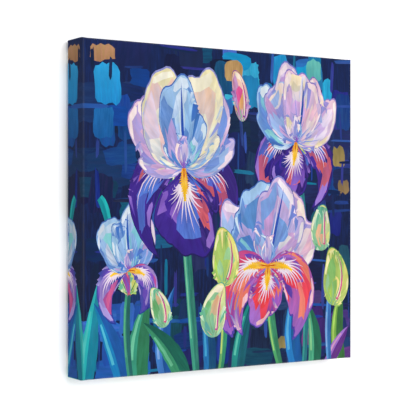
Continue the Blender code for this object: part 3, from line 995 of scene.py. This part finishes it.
def paint_spathe(base, size, axis):
    """Green leaves that wrap the stalk under a flower, one with a red edge."""
    for turn in (-24, 22):
        leaf = Petal(base, size, size * 0.42, axis + turn, -turn * 0.7, 0.02, 0.25)
        paint_petal(leaf, *BUDS["lime" if turn < 0 else "mint"], 6, "3a7d4a")
    edge = Petal(base, size * 0.95, size * 0.2, axis + 8, 10, 0.01, 0.2)
    paint_petal(edge, *FALLS["coral"], 2)


def iris(throat, size, standards, falls, fall_paint, beard_size=1.0):
    """A flower. Petals are (axis, length, width, bend, paint or place), sized as shares of size."""
    throat = Vector(throat)

    def paint_falls(side):
        for axis, length, width, bend, place in falls:
            if place == side:
                fall = Petal(throat, length * size, width * size, axis, bend, 0.15, 0, 0.45)
                paint_petal(fall, *FALLS[fall_paint], 26, FALLS[fall_paint][1])
                beard(fall, 0.36, 4.2 * beard_size)

    paint_falls("back")
    for number, (axis, length, width, bend, colours) in enumerate(standards):
        petal = Petal(throat, length * size, width * size, axis, bend, 0.19)
        rib = "3f5fb8" if number == len(standards) - 1 else None
        paint_petal(petal, *STANDARDS[colours], 24, "6f8ed8", rib)
    for axis, colours in ((-34, "sky"), (30, "blush"), (-4, "lilac")):
        arm = Petal(throat, 0.3 * size, 0.085 * size, 90 + axis, -axis, 0.1, 0.2, 0.5)
        paint_petal(arm, *STANDARDS[colours], 5, "8f5ac0")
    paint_falls("front")


def bud(base, length, width, axis, bend=0, colours="lime", line="e0608a"):
    """A bud: a pointed fan with warm patches, and a line of coral along the fold."""
    shape = Petal(base, length, width, axis, bend, 0.02, 0.22)
    paint_petal(shape, *BUDS[colours], 9, "7fb08a")
    flow = shape.flow()
    vein(shape, -0.30, 0.22, 0.98, 3.0, line, "c0509a", 0.24, flow)
    vein(shape, -0.24, 0.24, 0.96, 1.2, "fbe9d0", None, 0.22, flow)


# %% [markdown]
# Leaves are blades: a spine from the root to a pointed tip, a darker and a lighter half, and long
# streaks. Stems are the same, but keep their width.

# %% Blades


def spine_point(root, bow, tip, part):
    """A point on the smooth spine through the three points' curve."""
    return root.lerp(bow, part).lerp(bow.lerp(tip, part), part)


def blade(root, bow, tip, width, dark, light, shine=None, taper=0.75, steps=12):
    """A leaf blade, or with taper 0 a stem, from root to tip past bow, all in mm."""
    root, bow, tip = Vector(root), Vector(bow), Vector(tip)
    left, spine, right = [], [], []
    for i in range(steps + 1):
        part = i / steps
        here = spine_point(root, bow, tip, part)
        ahead = spine_point(root, bow, tip, part + 0.01)
        side = (ahead - here).normalized()
        side = Vector((-side.y, side.x))
        half = width / 2 * ((1 - part**2.2) ** taper) * (0.75 + 0.25 * math.sin(math.pi * part))
        half *= 1 + hand.uniform(-0.04, 0.04)
        left.append(here + side * half)
        spine.append(here + side * half * 0.15)
        right.append(here - side * half)
    flow = line_flow(root, tip)
    paint(left + right[::-1], dark, vary(dark), vary(dark, 0.1), root, tip, flow)
    paint(left + spine[::-1], light, vary(light), vary(light, 0.1), root, tip, flow)
    if shine:
        first, last = steps // 4, steps - 2
        strip = [a.lerp(b, 0.25) for a, b in zip(left, spine)][first:last]
        inner = [a.lerp(b, 0.62) for a, b in zip(left, spine)][first:last]
        paint(strip + inner[::-1], shine, vary(shine), None, root, tip, flow)


def paint_leaves():
    """The blades behind and between the stalks, all rising from below the picture."""
    blades = (
        ((-150, -158), (-146, -120), (-138, -66), 18, "1d7f9c", "2fb0b4", "57c7c0"),
        ((-112, -158), (-120, -120), (-142, -84), 20, "24589c", "2f86c0", "53b4cc"),
        ((-96, -158), (-100, -118), (-84, -78), 24, "2f7a58", "3f9a7f", "6cc09a"),
        ((-66, -158), (-78, -120), (-58, -72), 18, "2a5a9c", "4a82c8", "7fa8dc"),
        ((-48, -158), (-60, -126), (-92, -104), 22, "1f6a58", "3d8f6a", "66b488"),
        ((-20, -158), (-16, -120), (-30, -88), 16, "1a4a78", "2f78b0", "4fa0d0"),
        ((12, -158), (14, -126), (30, -84), 18, "1c5f6a", "2f8f8a", "58b8a4"),
        ((84, -158), (70, -120), (84, -70), 20, "24589c", "3a8ad0", "5fb0e0"),
        ((104, -158), (110, -126), (96, -92), 18, "2a6a54", "4aa37f", "86c890"),
        ((138, -158), (128, -120), (142, -74), 18, "3a6a3c", "7ab04e", "b4d870"),
        ((122, -158), (134, -136), (148, -120), 16, "6a3a8c", "a06fc4", "d9a3cc"),
        ((-136, 10), (-128, 2), (-124, -34), 9, "1f8f98", "2fb0b4", None),
    )
    for root, bow, tip, width, dark, light, shine in blades:
        blade(root, bow, tip, width, dark, light, shine)


# %% [markdown]
# The picture puts these together: four flowers of different sizes and colours, six buds between
# them, leaves that rise from below, and the blue ground behind.

# %% The whole picture


def paint_picture():
    """The whole picture, back to front."""
    paint_ground()
    paint_accents()
    dry_strokes(150)
    paint_leaves()
    # stalks
    blade((-34, -158), (-40, -90), (-50, 20), 9, "2f7a6a", "4aa38a", "7fc8a0", taper=0)
    blade((64, -158), (50, -120), (50, -70), 9, "3a7d5a", "5aa86f", "a6d07a", taper=0)
    blade((92, -158), (100, -40), (84, 50), 7, "2a6f7a", "3f9a94", "6cc0a8", taper=0)
    blade((-104, -158), (-112, -110), (-106, -70), 7, "2a6a6a", "3f8f7a", "66b488", taper=0)
    blade((-8, -158), (0, -120), (-4, -70), 7, "3a8f6a", "7fc07a", "d9e27a", taper=0)
    blade((124, -158), (120, -120), (124, -88), 7, "3f6fb0", "5f93d0", "9fc0e8", taper=0)
    # upper right: lilac, with violet falls
    paint_spathe((84, 44), 34, 96)
    iris(
        (82, 66), 74,
        [(144, 0.84, 0.66, -20, "sky"), (36, 0.88, 0.7, 22, "blush"), (112, 0.98, 0.66, -8, "lilac"),
         (76, 0.96, 0.6, 8, "blush")],
        [(172, 0.86, 0.5, 66, "back"), (8, 0.84, 0.5, -66, "back"), (-96, 0.76, 0.6, -6, "front")],
        "violet", 0.9,
    )
    # left, low: pale blue, half open
    paint_spathe((-106, -78), 30, 92)
    iris(
        (-106, -56), 54,
        [(128, 0.95, 0.66, -18, "sky"), (54, 0.9, 0.6, 20, "lilac"), (92, 1.05, 0.6, 0, "sky")],
        [(178, 0.86, 0.48, 66, "back"), (-2, 0.8, 0.46, -70, "front")],
        "dusk", 0.75,
    )
    # upper left: the largest, cream and blue over deep violet
    paint_spathe((-48, 4), 36, 88)
    iris(
        (-48, 38), 90,
        [(146, 0.82, 0.66, -20, "blush"), (36, 0.84, 0.66, 20, "lilac"), (116, 0.96, 0.62, -6, "cream"),
         (66, 0.98, 0.62, 8, "cream"), (92, 0.88, 0.54, 0, "sky")],
        [(170, 0.86, 0.5, 66, "back"), (10, 0.86, 0.5, -66, "back"), (-88, 0.92, 0.7, 4, "front")],
        "violet", 1.05,
    )
    # lower right: sky blue and lilac, with coral falls
    paint_spathe((50, -96), 38, 90)
    iris(
        (48, -56), 84,
        [(146, 0.84, 0.68, -18, "lilac"), (34, 0.88, 0.72, 18, "blush"), (112, 0.94, 0.66, -8, "sky"),
         (70, 0.96, 0.68, 6, "lilac")],
        [(-92, 0.66, 0.46, -8, "back"), (172, 0.94, 0.56, 70, "front"), (6, 0.9, 0.54, -70, "front")],
        "coral", 1.0,
    )
    # buds
    bud((-4, -74), 46, 30, 78, 10)
    bud((-14, -122), 42, 28, 100, -14, "mint", "c0509a")
    bud((128, -98), 48, 32, 74, 12)
    bud((116, -42), 38, 24, 104, -10, "mint")
    bud((-70, -110), 32, 20, 96, 8, "mint", "d9588e")
    bud((18, 84), 40, 17, 92, 6, "rose", "7a3a9c")


paint_picture()
print(len(painting), "painted shapes,", sum(len(s.outline) for s in painting), "outline points")

# %% [markdown]
# The shapes overlap, and only what is on top should be in the mesh. So all the outlines are first
# cut against each other by a constrained triangulation, and each small triangle finds the last
# painted shape that covers it. Then a second triangulation takes just the edges between different
# paints, mirrors them over the picture's border for the wrapped sides, adds the fold lines, and
# makes the mesh of the whole sheet.

# %% Which shape shows where
PRINT_END = INNER + BACK_END + BLEED
MARGIN = PRINT_END - PICTURE


def mirror(value):
    """Coordinates on the sheet, folded back into the picture at its border."""
    return np.where(np.abs(value) > PICTURE, np.copysign(2 * PICTURE, value) - value, value)


def inside(points, ring):
    """Which points lie inside a closed outline, by counting how often it winds round them."""
    px, py = points[:, :1], points[:, 1:]
    ax, ay = ring.T
    bx, by = np.roll(ring, -1, axis=0).T
    left_of = (bx - ax) * (py - ay) - (px - ax) * (by - ay)
    upward = (ay <= py) & (by > py) & (left_of > 0)
    downward = (by <= py) & (ay > py) & (left_of < 0)
    return upward.sum(axis=1) != downward.sum(axis=1)


def top_shapes(spots, cells):
    """The number of the topmost painted shape over each triangle's middle, found from the top down."""
    middles = mirror(np.array([p[:] for p in spots])[np.array(cells)].mean(axis=1))
    tops = np.zeros(len(cells), int)
    bare = np.arange(len(cells))
    for number in range(len(painting) - 1, 0, -1):
        ring = np.array([p[:] for p in painting[number].outline])
        boxed = ((middles[bare] > ring.min(0)) & (middles[bare] < ring.max(0))).all(axis=1)
        if boxed.any():
            boxed[boxed] = inside(middles[bare[boxed]], ring)
            tops[bare[boxed]] = number
            bare = bare[~boxed]
    return tops


def edges_between_paints():
    """The pieces of the outlines that show, as pairs of points."""
    corners, lines = [], []
    for shape in painting:
        first, count = len(corners), len(shape.outline)
        lines += [(first + i, first + (i + 1) % count) for i in range(count)]
        corners += shape.outline
    for stop in (PICTURE, PICTURE - MARGIN):
        for side in (stop, -stop):
            for a, b in (((side, -PICTURE), (side, PICTURE)), ((-PICTURE, side), (PICTURE, side))):
                lines.append((len(corners), len(corners) + 1))
                corners += [Vector(a), Vector(b)]
    spots, _, cells, *_ = delaunay_2d_cdt(corners, lines, [], 0, HAIR, False)
    first_top, borders = {}, []
    for cell, top in zip(cells, top_shapes(spots, cells).tolist()):
        for a, b in zip(cell, cell[1:] + cell[:1]):
            edge = (min(a, b), max(a, b))
            if first_top.setdefault(edge, top) != top:
                borders.append(edge)
    within = [max(abs(p.x), abs(p.y)) < PICTURE + 1e-3 for p in spots]
    print(len(cells), "cells in the picture,", len(borders), "edges between paints")
    return [(spots[a], spots[b]) for a, b in borders if within[a] and within[b]]


# %% The flat mesh
MESH_STEP = 5  # mm between the points that fill wide triangles


def triangulate(segments, seed):
    """Points and triangles of the cut sheet with edges on the segments and on the fold lines."""
    corners, lines = list(outline), []
    for path in fold_lines():
        lines += [(len(corners) + i, len(corners) + i + 1) for i in range(len(path) - 1)]
        corners += path
    for a, b in segments:
        lines.append((len(corners), len(corners) + 1))
        corners += [a, b]
    scatter = random.Random(seed)
    count = int(2 * FLAT_HALF / MESH_STEP)
    for i in range(count):
        for j in range(count):
            spot = [(k + scatter.uniform(0.3, 0.7)) * MESH_STEP - FLAT_HALF for k in (i, j)]
            near_bend = any(-1 < abs(c) - INNER - stop < 5 for c in spot for stop in (0, BACK_START))
            if not near_bend and max(map(abs, spot)) < FLAT_HALF - MESH_STEP / 2:
                corners.append(Vector(spot))
    face = [range(len(outline))]
    spots, _, cells, _, _, sources = delaunay_2d_cdt(corners, lines, face, 1, HAIR, True)
    return spots, [cell for cell, covers in zip(cells, sources) if covers]


def printed_edges():
    """The edges between paints, on the picture and mirrored over its four borders."""
    edges = edges_between_paints()
    start = PICTURE - MARGIN - 1e-3
    in_picture = list(edges)
    for axis in (0, 1):
        for a, b in in_picture:
            for side in (1, -1):
                if min(a[axis] * side, b[axis] * side) > start:
                    copies = [a.copy(), b.copy()]
                    for point in copies:
                        point[axis] = 2 * PICTURE * side - point[axis]
                    edges.append(tuple(copies))
    return edges


outer_spots, outer_cells = triangulate(printed_edges(), 1)
inner_spots, inner_cells = triangulate([], 1)
print(len(outer_cells), "triangles outside,", len(inner_cells), "inside")


# %% [markdown]
# Each triangle of the sheet looks up its shape under the point it mirrors, and each of its corners
# gets two colours and the brush's coordinates there. Where the print ends on the back, the sheet is
# bare white primer.

# %% Colours for each corner
BEND_HIGHLIGHT = 0.035  # how much white the painted highlight adds along the front bend
PRIMER = (*linear("efeee9"), *linear("e4e2da"))  # bare white ground where the print ends


def bend_share(reach):
    """1 on the middle of the front bend, where a painted highlight lightens the print, and 0 beside it."""
    return max(0, 1 - abs(reach - INNER - SIDE_START / 2) / (SIDE_START / 2))


def corner_paint(shape, spot):
    """(tint, streak, brush coordinates in metres) at a point of the sheet."""
    here = Vector(mirror(np.array(spot)))
    way = shape.end - shape.start
    part = min(max(way.dot(here - shape.start) / way.length_squared, 0), 1)
    # a painted highlight: the print is lightened along the middle of the front bend, where the edge catches
    # the light
    bend_light = BEND_HIGHLIGHT * bend_share(max(abs(spot.x), abs(spot.y)))
    tint = [a + (b - a) * part + bend_light for a, b in zip(shape.near, shape.far)]
    along, across = shape.flow(here)
    return (*tint, *shape.streak, along * MM, across * MM)


def paint_corners():
    """The paint at each corner of each printed triangle, in the mesh's order."""
    done, paints = {}, []
    for cell, top in zip(outer_cells, top_shapes(outer_spots, outer_cells).tolist()):
        centre = sum((outer_spots[i] for i in cell), Vector((0, 0))) / 3
        bare = max(abs(centre.x), abs(centre.y)) > PRINT_END
        for i in cell:
            if bare:
                spot = outer_spots[i] * MM
                paints.append((*PRIMER, spot.x, spot.y))
                continue
            if (i, top) not in done:
                done[i, top] = corner_paint(painting[top], outer_spots[i])
            paints.append(done[i, top])
    return paints


outer_paint = paint_corners()
print(len(outer_paint), "corners painted")


# %% [markdown]
# Last, both skins are folded and joined. The printed skin is the outside. The same fold with the
# cloth's thickness taken off along the normal is the inside, the bare cotton that shows from behind,
# and a narrow band round the cut closes the two into one solid sheet.

# %% The folded sheet


def rim_of(cells):
    """The boundary edges of a flat mesh, in their triangles' order."""
    edges = {(a, b) for cell in cells for a, b in zip(cell, cell[1:] + cell[:1])}
    return [(a, b) for a, b in edges if (b, a) not in edges]


def on_frame(flat, inset):
    """A point of the flat sheet on the frame, in metres, and its normal."""
    spot, normal = fold(flat)
    place = (spot - normal * inset) * MM
    return Vector((place.x, FRONT_Y + place.y, MIDDLE.z + place.z)), normal


def make_sheet():
    """The sheet's object and the number of its printed faces."""
    outer = [on_frame(p, 0) for p in outer_spots]
    inner = [on_frame(p, CLOTH) for p in inner_spots]
    first = len(outer)
    inner_rim = {tuple(round(c, 2) for c in inner_spots[a]): a for a, _ in rim_of(inner_cells)}
    band = []
    for a, b in rim_of(outer_cells):
        ends = [inner_rim.get(tuple(round(c, 2) for c in outer_spots[i])) for i in (a, b)]
        assert None not in ends, "the two skins don't meet at the cut"
        band.append((b, a, first + ends[0], first + ends[1]))
    # The flat sheet is drawn as seen from the front, so its order turns round on the frame.
    front = [tuple(cell) for cell in outer_cells]
    back = [tuple(first + i for i in cell[::-1]) for cell in inner_cells]
    mesh = bpy.data.meshes.new("canvas_print")
    mesh.from_pydata([p for p, _ in outer + inner], [], front + back + band)
    normals = [n for _, n in outer] + [-n for _, n in inner]
    obj = bpy.data.objects.new("canvas_print", mesh)
    bpy.context.scene.collection.objects.link(obj)
    mesh.polygons.foreach_set("use_smooth", [True] * len(mesh.polygons))
    mesh.normals_split_custom_set_from_vertices(normals)
    mesh.polygons.foreach_set("material_index", [0] * len(front) + [1] * (len(back) + len(band)))
    return obj, len(front)


# %% [markdown]
# A mesh can carry any number of named values at its face corners, and a material reads them by name.
# The sheet has its own flat coordinates for the weave, the brush's coordinates, and the two paints.
# One more map lays the two skins out side by side, for turning the finish into flat pictures.

# %% Maps and colours of the sheet
COTTON = (*linear("e9e3d3"), *linear("d9d0ba"))  # the unprinted inside
OUTSIDE_MAP = (0.01, 0.77)  # where the printed skin starts on the last map, and its size
INSIDE_MAP = (0.79, 0.2)


def write_layers(obj, front_count):
    """The UV maps and colour attributes of the sheet's corners."""
    mesh = obj.data
    flats = [*outer_spots, *inner_spots]
    loops = [0] * len(mesh.loops)
    mesh.loops.foreach_get("vertex_index", loops)
    printed = 3 * front_count
    sheet_map, brush_map, bake_map, tints, streaks = [], [], [], [], []
    for number, vertex in enumerate(loops):
        x, y = flats[vertex]
        sheet_map += [x * MM, y * MM]
        paint_here = outer_paint[number] if number < printed else (*COTTON, x * MM, y * MM)
        start, size = OUTSIDE_MAP if number < printed else INSIDE_MAP
        bake_map += [start + size * (x / FLAT_HALF + 1) / 2, start + size * (y / FLAT_HALF + 1) / 2]
        tints += [*paint_here[:3], 1]
        streaks += [*paint_here[3:6], 1]
        brush_map += paint_here[6:]
    for name, values in (("sheet", sheet_map), ("brush", brush_map), ("OFBake", bake_map)):
        mesh.uv_layers.new(name=name).uv.foreach_set("vector", values)
    for name, values in (("tint", tints), ("streak", streaks)):
        mesh.color_attributes.new(name, "FLOAT_COLOR", "CORNER").data.foreach_set("color", values)


sheet, printed_count = make_sheet()
write_layers(sheet, printed_count)
print("canvas_print:", len(sheet.data.vertices), "points,", len(sheet.data.polygons), "faces")

# %% [markdown]
# ## Printed canvas
# Primed cotton canvas, printed by inkjet and left matt. The eye gets three things from it: the
# painted colour, which a noise stretched along each brush mark breaks into streaks of the second
# colour; the shine, which is soft and even; and the weave, one thread over and one under. Real
# threads are 0.6 mm apart, too fine to show here, so they are drawn about twice as coarse.

# %% The print and the bare cotton
THREAD = 0.0012  # metres from one thread to the next


def add_weave(tree, pitch, depth):
    """A plain weave on the sheet's flat coordinates, in metres: (coordinates, height, normal)."""
    sheet_uv = add_node(tree, "UVMap", {"uv_map": "sheet"})
    parts = add_node(tree, "SeparateXYZ", Vector=(sheet_uv, "UV"))
    waves = []
    for axis in ("X", "Y"):
        turns = add_node(
            tree, "Math", {"operation": "MULTIPLY"}, n0=(parts, axis), n1=math.pi / pitch
        )
        waves.append(add_node(tree, "Math", {"operation": "SINE"}, n0=(turns, "Value")))
    x, y = ((wave, "Value") for wave in waves)
    crossing = add_node(tree, "Math", {"operation": "MULTIPLY"}, n0=x, n1=y)
    over = add_node(tree, "MapRange", Value=(crossing, "Value"), From_Min=-0.35, From_Max=0.35)
    high = [add_node(tree, "Math", {"operation": "ABSOLUTE"}, n0=wave) for wave in (x, y)]
    height = add_node(
        tree, "Mix", n0=(over, "Result"), n2=(high[0], "Value"), n3=(high[1], "Value")
    )
    slubs = add_node(
        tree, "TexNoise", {"noise_dimensions": "2D"}, Vector=(sheet_uv, "UV"), Scale=420, Detail=2
    )
    uneven = add_node(
        tree, "Math", {"operation": "MULTIPLY_ADD"}, n0=(slubs, "Fac"), n1=0.7, n2=(height, 0)
    )
    bump = add_node(tree, "Bump", Height=(uneven, "Value"), Strength=0.6, Distance=depth)
    return sheet_uv, (height, 0), (bump, "Normal")


def printed_canvas():
    material, tree, out = new_material("inkjet_printed_cotton_canvas")
    tint = add_node(tree, "Attribute", {"attribute_name": "tint"})
    streak = add_node(tree, "Attribute", {"attribute_name": "streak"})
    brush = add_node(tree, "UVMap", {"uv_map": "brush"})
    # bristle marks about 2 mm wide and 20 mm long
    fine = add_node(tree, "Mapping", Vector=(brush, "UV"), Scale=(50, 520, 1))
    bristles = add_node(
        tree, "TexNoise", {"noise_dimensions": "2D"}, Vector=(fine, "Vector"), Scale=1, Detail=3,
        Roughness=0.6,
    )
    marks = add_node(tree, "MapRange", Value=(bristles, "Fac"), From_Min=0.42, From_Max=0.72)
    amount = add_node(tree, "Math", {"operation": "MULTIPLY"}, n0=(marks, "Result"), n1=0.75)
    colour = add_node(
        tree, "Mix", {"data_type": "RGBA"}, n0=(amount, "Value"), n6=(tint, "Color"),
        n7=(streak, "Color"),
    )
    # the paint's thickness varies over about 10 mm, and the whole print is darkened, a painted shade that
    # offsets the bright lights
    wide = add_node(tree, "Mapping", Vector=(brush, "UV"), Scale=(45, 150, 1))
    body = add_node(
        tree, "TexNoise", {"noise_dimensions": "2D"}, Vector=(wide, "Vector"), Scale=1, Detail=2
    )
    light = add_node(
        tree, "MapRange", Value=(body, "Fac"), From_Min=0.25, From_Max=0.75, To_Min=0.53,
        To_Max=0.72,
    )
    toned = add_node(
        tree, "HueSaturation", Color=(colour, 2), Value=(light, "Result"), Saturation=1.04
    )
    _, _, normal = add_weave(tree, THREAD, 0.00012)
    cloth = add_node(
        tree, "BsdfPrincipled", Base_Color=(toned, "Color"), Roughness=0.8,
        Specular_IOR_Level=0.15, Normal=normal,
    )
    tree.links.new(cloth.outputs["BSDF"], out.inputs["Surface"])
    return material


def raw_cotton():
    """The back of the same cloth: unprimed cotton, warm white, with brown flecks of seed husk."""
    material, tree, out = new_material("raw_woven_cotton")
    sheet_uv, height, normal = add_weave(tree, THREAD, 0.0002)
    # painted shade: the cotton is darker where the weave dips between threads and lighter on their tops
    threads = ramp(tree, height, (0.1, "cfc5ac"), (0.8, "ebe4d2"))
    flecks = add_node(
        tree, "TexVoronoi", {"voronoi_dimensions": "2D"}, Vector=(sheet_uv, "UV"), Scale=90,
        Randomness=1,
    )
    fleck = add_node(
        tree, "MapRange", Value=(flecks, "Distance"), From_Min=0.04, From_Max=0.07, To_Min=0.55,
        To_Max=0,
    )
    some = add_node(tree, "Math", {"operation": "GREATER_THAN"}, n0=(flecks, "Color"), n1=0.58)
    kept = add_node(tree, "Math", {"operation": "MULTIPLY"}, n0=(fleck, "Result"), n1=(some, "Value"))
    husks = add_node(
        tree, "Mix", {"data_type": "RGBA"}, n0=(kept, "Value"), n6=(threads, "Color"),
        n7=linear("a58a5e") + (1,),
    )
    cloth = add_node(
        tree, "BsdfPrincipled", Base_Color=(husks, 2), Roughness=0.9,
        Sheen_Weight=0.15, Normal=normal,
    )
    tree.links.new(cloth.outputs["BSDF"], out.inputs["Surface"])
    return material


# %% The finished sheet
sheet.data.materials.append(printed_canvas())
sheet.data.materials.append(raw_cotton())
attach(sheet, "root")
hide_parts("canvas")
print("the canvas has", len(sheet.data.materials), "materials")

# %% [markdown]
# ## Loose threads
# The cloth is cut with scissors and not hemmed, so threads work loose along its edge and lie on the
# wood. They are short curved hairs of cotton, set along the cut by a second node group, each with a
# random turn and length from a fixed seed.

# %% Threads along the cut
THREADS_PER_SIDE = 22
THREAD_SPACING = 0.0112  # metres
cotton = sheet.data.materials[1]
strand = {"Length": 0.016, "Radius": 0.0002, "Seed": 11.0}
group, given, result = new_group("loose_threads", **strand, Finish=cotton)
sideways = add_node(group, "Math", {"operation": "MULTIPLY"}, n0=(given, "Length"), n1=0.22)
halfway = add_node(group, "Math", {"operation": "MULTIPLY"}, n0=(given, "Length"), n1=0.5)
bow = add_node(group, "CombineXYZ", X=(sideways, 0), Z=(halfway, 0))
tip = add_node(group, "CombineXYZ", Y=-0.0001, Z=(given, "Length"))
thread = add_node(
    group, "GeometryNodeCurveQuadraticBezier", Resolution=6, Start=(0, 0, 0), Middle=(bow, 0),
    End=(tip, 0),
)
turn = add_node(group, "GeometryNodeInputNamedAttribute", {"data_type": "FLOAT_VECTOR"}, Name="turn")
loose = add_node(
    group, "FunctionNodeRandomValue", {"data_type": "FLOAT"}, Seed=(given, "Seed"), n2=-0.9, n3=0.9
)
swing = add_node(group, "CombineXYZ", Y=(loose, 1))
turned = add_node(
    group, "VectorMath", {"operation": "ADD"}, n0=(turn, "Attribute"), n1=(swing, 0)
)
length = add_node(
    group, "FunctionNodeRandomValue", {"data_type": "FLOAT"}, Seed=(given, "Seed"), ID=7,
    n2=0.25, n3=1.0,
)
placed = add_node(
    group, "GeometryNodeInstanceOnPoints", Points=(given, "Geometry"), Instance=(thread, 0),
    Rotation=(turned, 0), Scale=(length, 1),
)
real = add_node(group, "GeometryNodeRealizeInstances", Geometry=(placed, 0))
round_profile = add_node(
    group, "GeometryNodeCurvePrimitiveCircle", Resolution=6, Radius=(given, "Radius")
)
swept = add_node(
    group, "GeometryNodeCurveToMesh", Curve=(real, 0), Profile_Curve=(round_profile, 0),
    Fill_Caps=True,
)
coated = add_node(group, "GeometryNodeSetMaterial", Geometry=(swept, 0), Material=(given, "Finish"))
group.links.new(coated.outputs[0], result.inputs[0])

cut_reach = (HALF - FLANGE - 0.2) * MM
thread_y = BACK_Y - CLOTH * MM - 0.0001
points, turns = [], []
for quarter in range(4):
    for i in range(THREADS_PER_SIDE):
        place = i - (THREADS_PER_SIDE - 1) / 2 + hand.uniform(-0.5, 0.5)
        along = place * THREAD_SPACING
        spot = Matrix.Rotation(quarter * math.pi / 2, 3, "Y") @ Vector((along, 0, -cut_reach))
        points.append((spot.x, thread_y, MIDDLE.z + spot.z))
        turns.append(quarter * math.pi / 2)
threads = grow("loose_threads", points, turns, group, **strand, Finish=cotton)
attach(threads, "root")
